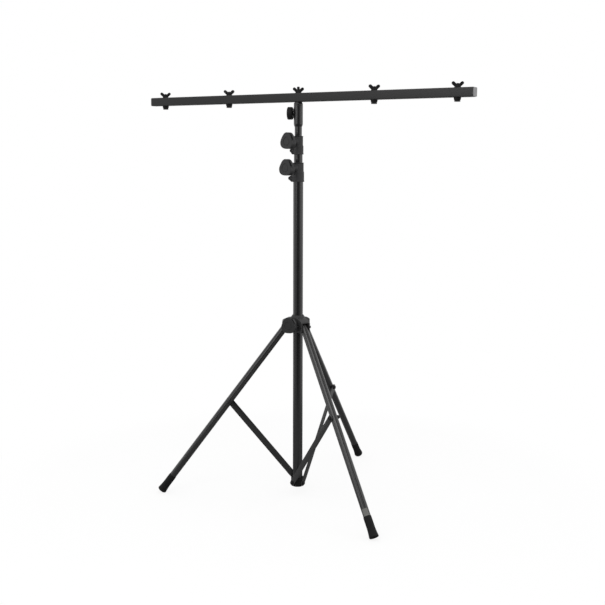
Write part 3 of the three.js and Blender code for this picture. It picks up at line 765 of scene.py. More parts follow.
class STAND_OT_clamps(bpy.types.Operator):
    """Builds the two mast clamps with their bushes and pinch bolts"""
    bl_idname = "stand.clamps"
    bl_label = "Clamps"

    WALL, COLLAR_WALL, SHOULDER = 2.6, 1.8, 2.0
    RIM, RIM_HEIGHT = 0.9, 3.0
    BUSH_WALL, FLANGE = 1.5, 2.5
    BOSS, BOSS_FOOT = 11.0, 3.0
    BOLT_HEAD, BOLT_HEAD_HEIGHT = 6.3, 8.0
    RIB_HALF, RIB_ABOVE, RIB_FOOT = 7.5, 13.0, 6.0
    CONE_REACH = 5.0  # how far the boss's wide foot runs out from the collar
    # How far from the mast's axis the skins start, inside what the bores take away
    CORE, BOSS_FROM, RIB_FROM, CONE_FROM = 5.0, 8.0, 10.0, 12.0

    def execute(self, context):
        self.clamp("lower", "base", "lower_tube", "middle_tube")
        self.clamp("upper", "middle_mast", "middle_tube", "top_tube")
        return {"FINISHED"}

    def clamp(self, which, body, tube, inner_tube):
        node, joint = which + "_clamp", which + "_knob_turn"
        self.tube, self.inner = reach(tube)[1].x, reach(inner_tube)[1].x
        self.mouth = reach(tube)[1].z
        knob = aim(joint)
        low, high = reach(node + "_bolt")
        bolt_height = (low.z + high.z) / 2
        bolt = aim(joint, bolt_height)
        knob_seat = extent(node + "_knob", knob)[0] - GAP
        bolt_seat = extent(node + "_bolt", bolt)[1] - self.BOLT_HEAD_HEIGHT - GAP
        obj = self.casting(node, knob, knob_seat, bolt, bolt_seat, bolt_height)
        show(which + "_clamp_casting", obj, "casting", body, node + "_body")
        piece(which + "_clamp_collar", self.bush(node), "knob", body, node + "_bush")
        depth = bolt_seat + GAP - self.tube - GAP
        form = Form().screw(bolt_seat + GAP, self.BOLT_HEAD, self.BOLT_HEAD_HEIGHT, depth, bolt)
        piece(which + "_clamp_pinch_bolt", form, "casting", body, node + "_bolt")

    def casting(self, node, knob, knob_seat, bolt, bolt_seat, bolt_height):
        """The socket, the collar, the knob's boss and the pinch bolt's rib, cast in one."""
        low, high = reach(node + "_body")
        foot, top = low.z, high.z
        bore, bush = self.tube + GAP, self.inner + self.BUSH_WALL + GAP * 2
        outer, collar = bore + self.WALL, bush + self.COLLAR_WALL
        rim = outer + self.RIM
        form = Form().turn([
            (self.CORE, foot), (rim - 1.2, foot), (rim, foot + 1.4), (rim, foot + self.RIM_HEIGHT),
            (outer, foot + self.RIM_HEIGHT + self.RIM), (outer, self.mouth - self.SHOULDER),
            (collar, self.mouth + self.SHOULDER), (collar, top), (self.CORE, top),
        ], 96, looped=True)
        form.rod(self.BOSS, self.BOSS_FROM, knob_seat, 64, knob, edge=0.8)
        cone = outer + self.CONE_REACH
        form.turn([(0, self.CONE_FROM), (self.BOSS + self.BOSS_FOOT, self.CONE_FROM),
                   (self.BOSS, cone), (0, cone)], 64, knob)
        low_bolt, high_bolt = bolt_height - self.BOLT_HEAD, bolt_height + self.BOLT_HEAD
        rib = softened([
            (self.RIB_FROM, foot), (outer + self.RIB_FOOT, foot, 1), (bolt_seat, low_bolt, 2),
            (bolt_seat, high_bolt, 2), (outer, bolt_height + self.RIB_ABOVE, 2),
            (self.RIB_FROM, bolt_height + self.RIB_ABOVE),
        ], steps=3)
        flat = aim(node.replace("_clamp", "_knob_turn"), 0) @ turned_about(-90, "Y")
        form.prism(rib, -self.RIB_HALF, self.RIB_HALF, flat @ ACROSS)
        obj = blank(form)
        cast(obj, stand().detail.voxel, 5)
        drill(obj, bore, foot - OVERRUN, self.mouth + GAP, sides=96)
        drill(obj, bush, foot, top + OVERRUN, sides=96)
        drill(obj, SCREW_HOLE, HOLE_FROM, knob_seat + OVERRUN, knob)
        drill(obj, SCREW_HOLE, HOLE_FROM, bolt_seat + OVERRUN, bolt)
        return obj

    def bush(self, node):
        low, high = reach(node + "_bush")
        bore = self.inner + GAP
        outer, shelf = bore + self.BUSH_WALL, high.z - self.FLANGE
        profile = softened([
            (bore, low.z), (outer, low.z), (outer, shelf, 0.2), (high.x, shelf, 0.5),
            (high.x, high.z, 0.8), (bore, high.z, 0.6),
        ], 0.3, 3, looped=True)
        return Form().turn(profile, 72, looped=True)


# Hand knobs, in millimetres: the head's reach at its lobes and between them, its thickness and
# the rounding of its rim; the neck, the back and the stem behind it; how deep the finger slot
# is; the ring in its face; and how far the screw goes in
HAND_KNOB = {"tip": 30.4, "flute": 25.6, "lobes": 3, "thick": 20.0, "ease": 2.4, "neck": 11.0,
             "heel": 24.0, "stem": 5.0, "slot": 10.0, "face": 15.0, "grip": 14.0,
             "finish": "knob"}
SMALL_KNOB = {"tip": 21.5, "flute": 20.2, "lobes": 6, "thick": 16.0, "ease": 6.0, "neck": 17.5,
              "heel": 19.0, "stem": 2.0, "slot": 0.0, "face": 8.0, "grip": 12.0,
              "finish": "matt"}
# Each knob's node, its kind and how far it is turned, in degrees
KNOBS = {
    "lower": ("lower_clamp_knob", HAND_KNOB, 57.0),
    "upper": ("upper_clamp_knob", HAND_KNOB, 56.0),
    "hub": ("hub_knob", HAND_KNOB, 63.0),
    "adaptor": ("adaptor_knob", SMALL_KNOB, 0.0),
}


class STAND_OT_knobs(bpy.types.Operator):
    """Builds the lobed hand knobs and their screws"""
    bl_idname = "stand.knobs"
    bl_label = "Knobs"

    ROUND = 144  # points around a head
    RING = 1.0  # depth of the ring in a head's face
    DISH = 0.2  # the face inside the ring lies this much lower
    SLOT_AT, SLOT_HALF = 0.72, 0.21  # shares of a head's thickness
    SLOT_LEAN = 14.0  # degrees from the middle between two lobes

    def execute(self, context):
        for name, (node, kind, spin) in KNOBS.items():
            place = aim(name + "_knob_turn")
            seat = extent(node, place)[0]
            obj = blank(self.knob(kind, place @ along(seat) @ turned_about(spin, "Z")))
            drill(obj, SCREW_HOLE, -OVERRUN, seat + kind["grip"] + GAP, place)
            show(name + "_hand_knob", obj, kind["finish"], name + "_knob", node, sharp=30)
            screw = node.replace("_knob", "_screw")
            low, high = extent(screw, place)
            form = Form().thread(SCREW, low, high, stand().detail.screw_pitch, place)
            piece(name + "_knob_screw", form, "steel", name + "_knob", screw, sharp=50)
        return {"FINISHED"}

    def knob(self, kind, place):
        """A lobed head on a short neck; a finger slot is sunk into its rim between two lobes."""
        tip, neck, face, ease = kind["tip"], kind["neck"], kind["face"], kind["ease"]
        back = kind["stem"]
        top = back + kind["thick"]
        middle = back + kind["thick"] * self.SLOT_AT
        half = kind["thick"] * self.SLOT_HALF
        rim = [(tip, middle + half * k / 6, 0) for k in range(-6, 7)]
        profile = softened([
            (0, 0), (neck, 0, 0.6), (neck, 0.8, 0.4), (kind["heel"], back, 0.8),
            (tip, back, ease * 1.2), *rim, (tip, top, ease * 1.4), (face + 0.6, top),
            (face, top - self.RING), (face - 1.4, top - self.RING), (face - 2, top - self.DISH),
            (0, top - self.DISH),
        ], 0.3, 6)
        lean = math.radians(self.SLOT_LEAN)
        rings = []
        for radius, height in supported(profile, 1.0):
            grow = eased((radius - neck) / (tip * 0.75 - neck)) * (tip - kind["flute"])
            near = min(abs(height - middle) / half, 1.0)
            sunk = kind["slot"] * (1 - near ** 4) * grow / max(tip - kind["flute"], 0.1)
            ring = []
            for j in range(self.ROUND):
                angle = math.tau * j / self.ROUND
                wave = 0.5 - 0.5 * math.cos(kind["lobes"] * angle)
                dip = 0.5 - 0.5 * math.cos(kind["lobes"] * (angle - lean))
                wide = radius - grow * wave - sunk * dip ** 1.5
                ring.append((*polar(wide, angle), height))
            rings.append(ring)
        return Form().loft(rings, place)


class STAND_OT_adaptor(bpy.types.Operator):
    """Builds the sleeve that carries the bar, and its stud"""
    bl_idname = "stand.adaptor"
    bl_label = "Adaptor"

    BORE, SLEEVE, NECK = 12.8, 15.8, 13.0
    LENGTH, CHAMFER, NECK_TOP = 77.0, 8.0, 1.0
    GROOVE, GROOVE_BELOW = 0.5, 5.0
    BOSS, BOSS_REACH, BOSS_SUNK, HOLE_REACH = 8.0, 2.5, 0.7, 8.0

    def execute(self, context):
        low, high = reach("adaptor_sleeve")
        floor = reach("top_tube")[1].z + GAP
        top = low.z + self.LENGTH
        groove = top - self.GROOVE_BELOW
        place = aim("adaptor_knob_turn")
        profile = softened([
            (0, floor), (self.BORE, floor, 0.5), (self.BORE, low.z, 0.3),
            (self.BORE + 0.8, low.z, 0.3), (self.SLEEVE, low.z + self.CHAMFER, 2),
            (self.SLEEVE, groove - 0.6), (self.SLEEVE - self.GROOVE, groove),
            (self.SLEEVE, groove + 0.6), (self.SLEEVE, top, 0.9),
            (self.NECK, high.z - self.NECK_TOP, 0.4), (self.NECK, high.z, 0.5), (0, high.z),
        ], 0.2)
        obj = blank(Form().turn(profile, stand().detail.sides))
        boss = Form().rod(self.BOSS, self.BORE + self.BOSS_SUNK, self.SLEEVE + self.BOSS_REACH,
                          48, place, edge=0.8)
        carve(obj, boss, "UNION")
        stud_low, stud_high = reach("adaptor_stud")
        drill(obj, STUD_HOLE, stud_low.z - GAP, high.z + OVERRUN)
        drill(obj, SCREW_HOLE, HOLE_FROM, self.SLEEVE + self.HOLE_REACH, place)
        show("adaptor_tube", obj, "powder", "adaptor", "adaptor_sleeve")
        form = Form().thread(STUD, stud_low.z, stud_high.z, stand().detail.stud_pitch,
                             tip=STUD_TIP)
        piece("adaptor_thread", form, "steel", "adaptor", "adaptor_stud", sharp=50)
        return {"FINISHED"}


# Cross bar


class STAND_OT_bar(bpy.types.Operator):
    """Builds the square cross bar and its end plugs"""
    bl_idname = "stand.bar"
    bl_label = "Cross bar"

    SIZE, WALL, CORNER, FROM_END = 30.0, 2.0, 3.5, 55.0
    TAIL, GROOVE_AT, FLANGE, INSET = 14.0, -6.0, 4.0, 0.6

    def execute(self, context):
        place = bar_place()
        half = (pivot("nut_4_turn") - pivot("nut_1_turn")).length / 2 + self.FROM_END
        lay = turned_about(90, "Z") @ turned_about(90, "X")
        outer = rounded_square(self.SIZE, self.CORNER)
        inner = rounded_square(self.SIZE - 2 * self.WALL, self.CORNER - self.WALL / 2)
        lip = rounded_square(self.SIZE - 0.8, self.CORNER)
        run = [(lip, -half), (outer, -half + 0.4), (outer, -half + 3), (outer, half - 3),
               (outer, half - 0.4), (lip, half), (inner, half), (inner, half - 3),
               (inner, -half + 3), (inner, -half)]
        rings = [lifted(ring, z) for ring, z in run]
        obj = blank(Form().loft(rings, place @ lay, looped=True))
        for name in NUTS:
            middle = upright(f"nut_{name}_turn", place.translation.z)
            drill(obj, STUD_HOLE, -self.SIZE, self.SIZE, middle, 32)
        show("square_bar", obj, "bar", "t_bar", "cross_bar")
        for side, turn in (("left", 180), ("right", 0)):
            there = place @ turned_about(turn, "Z") @ lay @ along(half + GAP)
            piece("end_cap_" + side, self.plug(there), "plug", "t_bar", "bar_plug_" + side)
        return {"FINISHED"}

    def plug(self, place):
        """A grooved tail inside the bar under a flange with soft edges."""
        wide = self.SIZE - 2 * self.INSET
        tail = self.SIZE - 2 * self.WALL - 2 * GAP
        groove = self.GROOVE_AT
        # each ring's size, its corners and its height from the bar's end
        run = [
            (tail - 3, 2, -self.TAIL), (tail - 0.8, 2.4, -self.TAIL + 1),
            (tail, 2.5, -self.TAIL + 3), (tail, 2.5, groove - 1), (tail - 1, 2.4, groove - 0.5),
            (tail - 1, 2.4, groove + 0.5), (tail, 2.5, groove + 1), (tail, 2.5, 0),
            (tail - 3, 2.5, 0.3), (tail - 3, 2.5, 2.2), (wide - 0.4, 3.3, 2.3),
            (wide, 3.4, self.FLANGE - 1.4), (wide - 0.8, 3.4, self.FLANGE - 0.4),
            (wide - 2.2, 3.4, self.FLANGE), (wide - 8, 3, self.FLANGE),
        ]
        rings = [lifted(rounded_square(size, corner), z) for size, corner, z in run]
        return Form().loft(rings, place)


class STAND_OT_hanging_bolts(bpy.types.Operator):
    """Builds the hanging bolts and the rubber bushes under the bar"""
    bl_idname = "stand.hanging_bolts"
    bl_label = "Hanging bolts"

    HEAD_FLATS, BUSH_FOOT, SUNK = 17.0, 10.4, 3.0

    def execute(self, context):
        pitch = stand().detail.stud_pitch
        for i in range(1, 5):
            place = upright(f"nut_{i}_turn", 0)
            low, high = reach(f"lamp_bolt_{i}")
            foot, top = reach(f"lamp_bush_{i}")
            form = Form().hexagon(self.HEAD_FLATS, low.z, foot.z - GAP, place)
            form.thread(STUD, low.z + self.SUNK, high.z, pitch, place, tip=STUD_TIP)
            piece(f"hanging_bolt_{i}", form, "steel", "t_bar", f"lamp_bolt_{i}", sharp=50)
            profile = softened([
                (STUD_HOLE, foot.z), (self.BUSH_FOOT, foot.z, 1), ((top.x - foot.x) / 2, top.z),
                (STUD_HOLE, top.z),
            ], 0.3, looped=True)
            form = Form().turn(profile, 48, place, looped=True)
            piece(f"bar_bush_{i}", form, "rubber", "t_bar", f"lamp_bush_{i}")
        return {"FINISHED"}


class STAND_OT_wing_nuts(bpy.types.Operator):
    """Builds the five wing nuts"""
    bl_idname = "stand.wing_nuts"
    bl_label = "Wing nuts"

    FOOT, FOOT_HEIGHT, CROWN, HEIGHT, DOME = 10.5, 2.0, 8.4, 11.6, 2.4
    ROOT, TIP, WING, WING_HALF = Vector((5.5, 6.0)), Vector((14.0, 13.6)), 5.2, 3.2

    def execute(self, context):
        for name, angle in NUTS.items():
            seat = reach("wing_nut_" + name)[0].z
            place = upright(f"nut_{name}_turn", seat) @ turned_about(angle, "Z")
            profile = softened([
                (0, 0), (self.FOOT, 0, 0.5), (self.FOOT, self.FOOT_HEIGHT, 0.8),
                (self.CROWN, self.FOOT_HEIGHT * 2, 1), (self.CROWN - 0.6, self.HEIGHT, self.DOME),
                (0, self.HEIGHT),
            ], steps=5)
            form = Form().turn(profile, 56, place)
            for turn in (0, 180):
                form.prism(self.wing(), -self.WING_HALF, self.WING_HALF,
                           place @ turned_about(turn, "Z") @ ACROSS)
            obj = blank(form)
            cast(obj, stand().detail.nut_voxel, 4)
            drill(obj, STUD_HOLE, -OVERRUN, self.HEIGHT + OVERRUN, place)
            show("butterfly_nut_" + name, obj, "matt", "nut_" + name, "wing_nut_" + name)
        return {"FINISHED"}

    def wing(self):
        """A leaf with round ends from the nut's foot to the wing's tip."""
        lean = math.atan2(self.TIP.x - self.ROOT.x, self.TIP.y - self.ROOT.y)
        points = []
        for centre, start in ((self.TIP, -lean), (self.ROOT, math.pi - lean)):
            for k in range(13):
                angle = start + math.pi * k / 12
                points.append(tuple(centre + Vector(polar(1, angle)) * self.WING))
        return points


# Folding base


class STAND_OT_hub(bpy.types.Operator):
    """Builds the sliding hub with its three hooded forks"""
    bl_idname = "stand.hub"
    bl_label = "Hub"

    RADIUS, BORE, LIP = 25.0, 18.4, 1.6
    BELOW, SHOULDER, NECK = 20.0, 31.5, 8.0
    FORK_HALF, LEG_SPACE = 17.3, 13.3
    FORK_REACH, HOOD_BACK, HOOD_FRONT, ROOF = 14.0, 30.0, 19.5, 16.0
    BOSS, PIN_HOLE, HOLE_REACH, BORE_REACH = 11.0, 5.2, 6.0, 20.0
    CORE, BOSS_FROM = 12.0, 15.0  # the skins start here, inside what the bore takes away
    LEG_END, LEG_RADIUS, PLAY = 9.0, 12.5, 0.8
    SWING = math.hypot(LEG_END, LEG_RADIUS) + PLAY  # a leg's end turns about its pin inside this

    def execute(self, context):
        self.pin, self.centre = HUB_PIVOT.z, -HUB_PIVOT.x
        self.foot = self.pin - self.BELOW
        shoulder = self.pin + self.SHOULDER
        knob = aim("hub_knob_turn")
        seat = extent("hub_knob", knob)[0] - GAP
        profile = softened([
            (0, self.foot), (self.RADIUS, self.foot, 1), (self.RADIUS, shoulder, 3),
            (self.BORE + self.LIP, shoulder + self.NECK, 1), (0, shoulder + self.NECK),
        ])
        form = Form().turn(profile, 96)
        form.rod(self.BOSS, self.BOSS_FROM, seat, 64, knob, edge=0.8)
        for side in SIDES:
            form.prism(self.fork(), -self.FORK_HALF, self.FORK_HALF, around(side) @ ACROSS)
        obj = blank(form)
        cast(obj, stand().detail.voxel, 2)
        for side in SIDES:
            pocket = Form().prism(self.pocket(), -self.LEG_SPACE, self.LEG_SPACE,
                                  around(side) @ ACROSS)
            carve(obj, pocket)
        cast(obj, stand().detail.voxel, 5)
        drill(obj, self.BORE, self.foot - OVERRUN, shoulder + self.BORE_REACH, sides=96)
        for side in SIDES:
            pin = around(side) @ Matrix.Translation((self.centre, 0, self.pin)) @ ACROSS
            drill(obj, self.PIN_HOLE, -THROUGH, THROUGH, pin)
        drill(obj, SCREW_HOLE, HOLE_FROM, seat + self.HOLE_REACH, knob)
        show("sliding_hub", obj, "casting", "hub", "hub_body")
        return {"FINISHED"}

    def fork(self):
        """A fork's outline: upright cheeks under a hood that slopes to the mouth."""
        out = self.centre + self.FORK_REACH
        return softened([
            (self.CORE, self.foot), (out, self.foot, 12), (out, self.pin + self.HOOD_FRONT, 6),
            (self.RADIUS + 6, self.pin + self.HOOD_BACK, 4), (self.CORE, self.pin + self.HOOD_BACK),
        ], steps=8)

    def pocket(self):
        """The space that a leg's end swings in, under the hood."""
        out, below = self.centre + self.FORK_REACH + 10, self.foot - OVERRUN
        points = [(self.centre - self.SWING, below), (out, below), (out, self.pin + self.ROOF)]
        start = math.asin(self.ROOF / self.SWING)
        for k in range(17):
            angle = start + (math.pi - start) * k / 16
            x, z = polar(self.SWING, angle)
            points.append((self.centre + x, self.pin + z))
        return points


class STAND_OT_legs(bpy.types.Operator):
    """Builds the three leg tubes and the plain sticker on the front one"""
    bl_idname = "stand.legs"
    bl_label = "Legs"

    TUBE, WALL = 12.5, 1.5
    CROSS = 20.0  # half of a hole's length across the tube
    STICKER_FROM, STICKER_TO = 73.0, 97.0  # above the foot's end, along the leg
    STICKER_MIDDLE, STICKER_HALF = -35.0, 46.0  # degrees around the leg
    STICKER, STICKER_GAP = 0.15, 0.02  # its thickness, and its gap to the tube

    def execute(self, context):
        for side in SIDES:
            place = leg_place(side)
            low, high = extent("leg_" + side, place)
            obj = blank(Form().pipe(self.TUBE, self.TUBE - self.WALL, low, high,
                                    stand().detail.sides, place))
            for z in (0, -LEG_TO_BRACE):
                drill(obj, SCREW_HOLE, -self.CROSS, self.CROSS, place @ along(z) @ ACROSS, 32)
            show("leg_tube_" + side, obj, "powder", "leg_" + side, "leg_" + side)
        self.sticker()
        return {"FINISHED"}

    def sticker(self):
        place = leg_place("front")
        end = extent("foot_front", place)[0]
        outline = []
        faces = (self.TUBE + self.STICKER, 1), (self.TUBE + self.STICKER_GAP, -1)
        for radius, way in faces:
            for k in range(-21, 22):
                degrees = self.STICKER_MIDDLE + way * self.STICKER_HALF * k / 21
                outline.append(polar(radius, math.radians(degrees)))
        form = Form().prism(outline, end + self.STICKER_FROM, end + self.STICKER_TO, place)
        piece("plain_sticker", form, "sticker", "leg_front")


class STAND_OT_feet(bpy.types.Operator):
    """Builds the rubber feet"""
    bl_idname = "stand.feet"
    bl_label = "Feet"

    TIP, RIM, FLARE, TAPER = 16.5, 3.0, 38.0, 7.0
    SLEEVE, BORE, FLOOR = 13.7, 12.8, 14.0
    GROUND, DEPTH = 900.0, 60.0  # half the block that cuts the feet level, and its depth

    def execute(self, context):
        for side in SIDES:
            place = leg_place(side)
            base, top = extent("foot_" + side, place)
            profile = [(0, base), (self.TIP - self.RIM, base, 2), (self.TIP, base + self.RIM, 1.5)]
            for k in range(1, 11):
                part = k / 10
                radius = self.SLEEVE + (self.TIP - self.SLEEVE) * (1 - part) ** 2
                profile.append((radius, base + self.RIM + (self.FLARE - self.RIM) * part))
            profile += [(self.SLEEVE, top - self.TAPER, 2), (self.BORE + 0.4, top, 0.3),
                        (self.BORE, top, 0.1), (self.BORE, base + self.FLOOR, 0.3),
                        (0, base + self.FLOOR)]
            obj = blank(Form().turn(softened(profile), 72, place))
            carve(obj, Form().prism(square(self.GROUND), -self.DEPTH, 0))
            show("rubber_foot_" + side, obj, "rubber", "leg_" + side, "foot_" + side)
        return {"FINISHED"}


class STAND_OT_braces(bpy.types.Operator):
    """Builds the flat braces between the base plug and the legs"""
    bl_idname = "stand.braces"
    bl_label = "Braces"

    HALF, THICK, HOLE = 11.5, 3.0, 4.4
    FLAT_FOOT, FLAT_TOP = 26.0, 30.0
    BENT = BRACE_LENGTH - FLAT_FOOT - FLAT_TOP
    FOOT_FACE, TOP_FACE = 20.3, 12.8  # its inner face beside the plug and beside the leg

    def execute(self, context):
        for side in SIDES:
            place = brace_place(side)
            rings = []
            for z in self.stations():
                over = max(-z, z - BRACE_LENGTH, 0.0)
                wide = math.sqrt(max(self.HALF ** 2 - over * over, 0.04))
                near = self.face(z)
                far = near + self.THICK
                ring = softened([(-wide, -near), (wide, -near), (wide, -far), (-wide, -far)],
                                min(0.6, wide / 2), 3, looped=True)
                rings.append(lifted(ring, z))
            obj = blank(Form().loft(rings, place))
            for z in (0, BRACE_LENGTH):
                drill(obj, self.HOLE, -THROUGH, THROUGH, place @ along(z) @ ACROSS)
            show("flat_brace_" + side, obj, "powder", "brace_" + side, "brace_" + side)
        return {"FINISHED"}

    def stations(self):
        """Heights along the strip, close together at its round ends."""
        ends = [self.HALF * math.sin(math.radians(a)) for a in range(0, 91, 9)]
        run = [self.FLAT_FOOT * k / 4 for k in range(1, 5)]
        run += [self.FLAT_FOOT + self.BENT * k / 12 for k in range(1, 12)]
        run += [BRACE_LENGTH - self.FLAT_TOP + self.FLAT_TOP * k / 4 for k in range(4)]
        return [-e for e in reversed(ends)] + run + [BRACE_LENGTH + e for e in ends]

    def face(self, z):
        """The strip's inner face lies on the plug's flat, then runs in to the leg's side."""
        part = min(max((z - self.FLAT_FOOT) / self.BENT, 0.0), 1.0)
        part = eased(part) * 0.25 + part * 0.75
        return self.FOOT_FACE + (self.TOP_FACE - self.FOOT_FACE) * part


class STAND_OT_base_plug(bpy.types.Operator):
    """Builds the moulded plug in the mast's foot"""
    bl_idname = "stand.base_plug"
    bl_label = "Base plug"

    RADIUS, FLAT, SPIGOT, BOLT_END = 24.0, 20.0, 15.4, 7.7

    def execute(self, context):
        low, high = reach("base_plug")
        shelf = reach("lower_tube")[0].z - GAP
        profile = softened([
            (0, low.z), (self.RADIUS, low.z, 4.5), (self.RADIUS, shelf, 2),
            (self.SPIGOT, shelf, 0.3), (self.SPIGOT, high.z, 2), (0, high.z),
        ])
        obj = blank(Form().turn(profile, 96))
        out = self.FLAT + THROUGH
        box = [(self.FLAT, -THROUGH), (out, -THROUGH), (out, THROUGH), (self.FLAT, THROUGH)]
        for side in SIDES:
            turn = around(side) @ turned_about(-90, "Z")
            carve(obj, Form().prism(box, low.z - OVERRUN, shelf + OVERRUN, turn))
            hole = turn @ along(PLUG_PIVOT.z) @ turned_about(90, "Y")
            drill(obj, SCREW_HOLE, self.BOLT_END, THROUGH, hole)
        show("foot_plug", obj, "matt", "base", "base_plug")
        return {"FINISHED"}


class STAND_OT_pins(bpy.types.Operator):
    """Builds the hub pins and the bolts and nuts of the braces"""
    bl_idname = "stand.pins"
    bl_label = "Pins and bolts"

    PIN_SEAT, PIN_HEAD, PIN_HEIGHT = 18.1, 6.5, 5.0
    NUT_FLATS, NUT_BODY, NUT_HEIGHT = 11.2, 6.0, 8.5
    COLLAR_FOOT, COLLAR, COLLAR_BORE, COLLAR_DEPTH = 5.2, 4.8, 3.4, 0.8
    HEAD, LEG_HEIGHT, BRACE_HEIGHT = 7.0, 5.3, 5.0
    LEG_SEAT, BRACE_SEAT, BRACE_DEPTH = 16.1, 23.6, 15.6
    CAP_SEAT, CAP_FLATS, CAP_BODY, CAP_GRIP = 12.8, 12.1, 5.8, 5.5
    CAP_ROUND, CAP_DOME = 5.7, 6.2
    NUT_TURNS = {"left": 180.0, "front": 0.0, "rear": 0.0}  # degrees

    def execute(self, context):
        for side in SIDES:
            leg, body = leg_place(side), "leg_" + side
            form = self.pin(leg @ turned_about(self.NUT_TURNS[side], "Z"))
            piece("hub_pin_set_" + side, form, "steel", body, "hub_pin_" + side)
            joint = leg @ along(-LEG_TO_BRACE)
            depth = self.LEG_SEAT + self.CAP_SEAT + self.CAP_GRIP
            form = Form().screw(self.LEG_SEAT, self.HEAD, self.LEG_HEIGHT, depth, joint @ ACROSS)
            piece("leg_screw_" + side, form, "steel", body, "leg_bolt_" + side)
            piece("cap_nut_" + side, self.cap_nut(joint @ BACK), "steel", body,
                  "leg_nut_" + side)
            form = Form().screw(self.BRACE_SEAT, self.HEAD, self.BRACE_HEIGHT, self.BRACE_DEPTH,
                                brace_place(side) @ ACROSS)
            piece("plug_screw_" + side, form, "steel", "base", "brace_bolt_" + side)
        return {"FINISHED"}

    def pin(self, place):
        """A bolt through the fork, with its lock nut away from the knob."""
        seat, head = self.PIN_SEAT, self.PIN_HEAD
        top = seat + self.PIN_HEIGHT
        profile = softened([(0, -seat), (SCREW, -seat), (SCREW, seat), (head, seat, 0.4),
                            (head, top, 2.2), (0, top)])
        form = Form().turn(profile, 48, place @ ACROSS)
        body, top = seat + self.NUT_BODY, seat + self.NUT_HEIGHT
        form.hexagon(self.NUT_FLATS, seat, body, place @ BACK)
        floor = top - self.COLLAR_DEPTH
        collar = softened([
            (0, body - 1), (self.COLLAR_FOOT, body - 1), (self.COLLAR, top, 1),
            (self.COLLAR_BORE, top, 0.3), (self.COLLAR_BORE, floor), (0, floor),
        ], steps=3)
        return form.turn(collar, 40, place @ BACK)

    def cap_nut(self, place):
        low, high = self.CAP_SEAT, self.CAP_SEAT + self.CAP_BODY
        form = Form().hexagon(self.CAP_FLATS, low, high, place)
        dome = [(0, high - 1.5)]
        for degrees in range(0, 91, 10):
            x, z = polar(1, math.radians(degrees))
            dome.append((self.CAP_ROUND * x, high - 1 + self.CAP_DOME * z))
        return form.turn(dome, 48, place)


# Stage


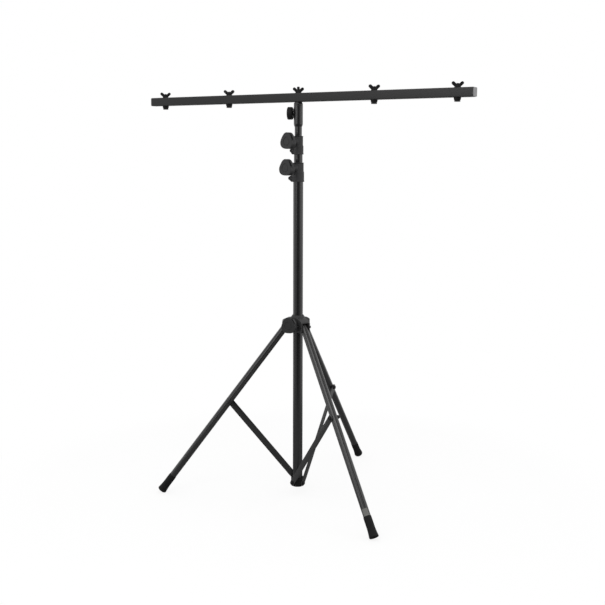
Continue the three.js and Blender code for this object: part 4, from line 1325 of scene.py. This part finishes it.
class STAND_OT_stage(bpy.types.Operator):
    """Builds the floor, the lights and the camera"""
    bl_idname = "stand.stage"
    bl_label = "Stage"

    # Metres and degrees
    CAMERA_AT, CAMERA_TILT, CAMERA_ROLL = (0.0161, -3.3065, 1.2255), 81.057, 0.16
    SOFTBOX, AIM = (1.4, 3.0), (0, 0, 0.8)
    TOP_SOFTBOX, TOP_AIM = (1.6, 1.0), (0.1, -0.2, 0.4)

    def execute(self, context):
        stage = stand().stage
        self.floor(stage.floor)
        self.light("left_softbox", (-2.3, -2.7, 2.3), self.AIM, self.SOFTBOX, stage.key)
        self.light("right_softbox", (3.0, -1.4, 1.9), self.AIM, self.SOFTBOX, stage.fill)
        self.light("top_softbox", (-0.4, -2.2, 2.6), self.TOP_AIM, self.TOP_SOFTBOX, stage.top)
        self.room(context.scene, stage.room)
        self.camera(context.scene, stage.focal)
        context.scene.view_settings.view_transform = "Standard"
        return {"FINISHED"}

    def floor(self, radius):
        """A white round floor that keeps the shadow and fades into the white room."""
        form = Form()
        form.points = [Vector(point) for point in circle(radius / MILLIMETRE, 96)]
        form.faces = [tuple(range(96))]
        obj = blank(form)
        obj.name = "floor"
        f = Finish("pale_floor", 0.0)
        seen = f.ray("Camera") + f.ray("Transmission")
        grey = f.blend(f.ray("Camera"), (0.26, 0.26, 0.26), (0.95, 0.95, 0.95))
        pale = f.shader(f.shade(grey, 0.98 + f.noise(400) * 0.04), 0.9)
        from_middle = f.add("VectorMath", {"operation": "LENGTH"}, {0: f.place}, output="Value")
        rim = f.rise(from_middle, radius * 0.72, radius * 0.98)
        glow = f.add("Emission", None, {"Color": (1, 1, 1), "Strength": 1.0})
        share_seen = seen * (0.84 + rim * 0.16) + f.ray("Glossy") * 0.03
        mixed = f.add("MixShader", None, {0: share_seen, 1: pale, 2: glow})
        obj.data.materials.append(f.done(mixed))

    def light(self, name, at, target, size, watts):
        lamp = bpy.data.lights.new(name, "AREA")
        lamp.shape = "RECTANGLE"
        lamp.size, lamp.size_y = size
        lamp.energy = watts
        obj = bpy.data.objects.new(name, lamp)
        turn = (Vector(target) - Vector(at)).to_track_quat("-Z", "Y")
        obj.matrix_world = Matrix.Translation(at) @ turn.to_matrix().to_4x4()
        bpy.context.scene.collection.objects.link(obj)

    def room(self, scene, strength):
        """White where it is seen; reflections find darker walls in front and a dimmer ceiling."""
        world = bpy.data.worlds.new("studio")
        scene.world = world
        world.use_nodes = True
        r = Recipe(world.node_tree)
        way = r.add("TexCoord", output="Generated")
        x, y, z = (way.part(axis) for axis in "XYZ")
        high = r.rise(z, 0.3, 0.6)
        ceiling = high * (1 - r.rise(y, 0.1, 0.4))
        front = r.rise(-y, 0.33, 0.45)
        dark = r.rise(-y * 0.43 - abs(x + 0.05), -0.02, 0.02) * (1 - high)
        sides = (0.26 + r.rise(z, -0.5, -0.05) * 0.66) * (1 - ceiling * 0.5 + high * 0.08)
        tone = sides * (1 - front * 0.6) * (1 - dark * 0.94)
        glossy = r.ray("Glossy")
        seen = r.ray("Camera") + r.ray("Transmission")
        level = seen + (1 - seen) * (glossy * tone + (1 - glossy) * strength)
        glow = r.add("Background", None, {"Color": (1, 1, 1), "Strength": level})
        r.add("OutputWorld", None, {"Surface": glow})

    def camera(self, scene, focal):
        lens = bpy.data.cameras.new("camera")
        lens.lens = focal
        lens.sensor_width = 36.0
        lens.clip_end = 200.0
        obj = bpy.data.objects.new("camera", lens)
        tilt, roll = turned_about(self.CAMERA_TILT, "X"), turned_about(self.CAMERA_ROLL, "Z")
        obj.matrix_world = Matrix.Translation(self.CAMERA_AT) @ tilt @ roll
        scene.collection.objects.link(obj)
        scene.camera = obj


OPERATORS = (
    STAND_OT_tubes, STAND_OT_clamps, STAND_OT_knobs, STAND_OT_adaptor, STAND_OT_bar,
    STAND_OT_hanging_bolts, STAND_OT_wing_nuts, STAND_OT_hub, STAND_OT_legs, STAND_OT_feet,
    STAND_OT_braces, STAND_OT_base_plug, STAND_OT_pins, STAND_OT_stage,
)


class STAND_PT_sidebar(bpy.types.Panel):
    bl_idname = "STAND_PT_sidebar"
    bl_label = "Lighting stand"
    bl_space_type = "VIEW_3D"
    bl_region_type = "UI"
    bl_category = "Stand"

    def draw(self, context):
        settings = stand()
        for group in (settings.colours, settings.wear, settings.detail, settings.stage):
            box = self.layout.box()
            for name in group.__annotations__:
                box.prop(group, name)
        for operator in OPERATORS:
            self.layout.operator(operator.bl_idname)


CLASSES = (StandColours, StandWear, StandDetail, StandStage, Stand, *OPERATORS, STAND_PT_sidebar)


def register():
    for item in CLASSES:
        bpy.utils.register_class(item)
    bpy.types.Scene.lighting_stand = PointerProperty(type=Stand)


def unregister():
    del bpy.types.Scene.lighting_stand
    for item in reversed(CLASSES):
        bpy.utils.unregister_class(item)


def main():
    register()
    for operator in OPERATORS:
        group, name = operator.bl_idname.split(".")
        getattr(getattr(bpy.ops, group), name)()


if __name__ == "__main__":
    main()
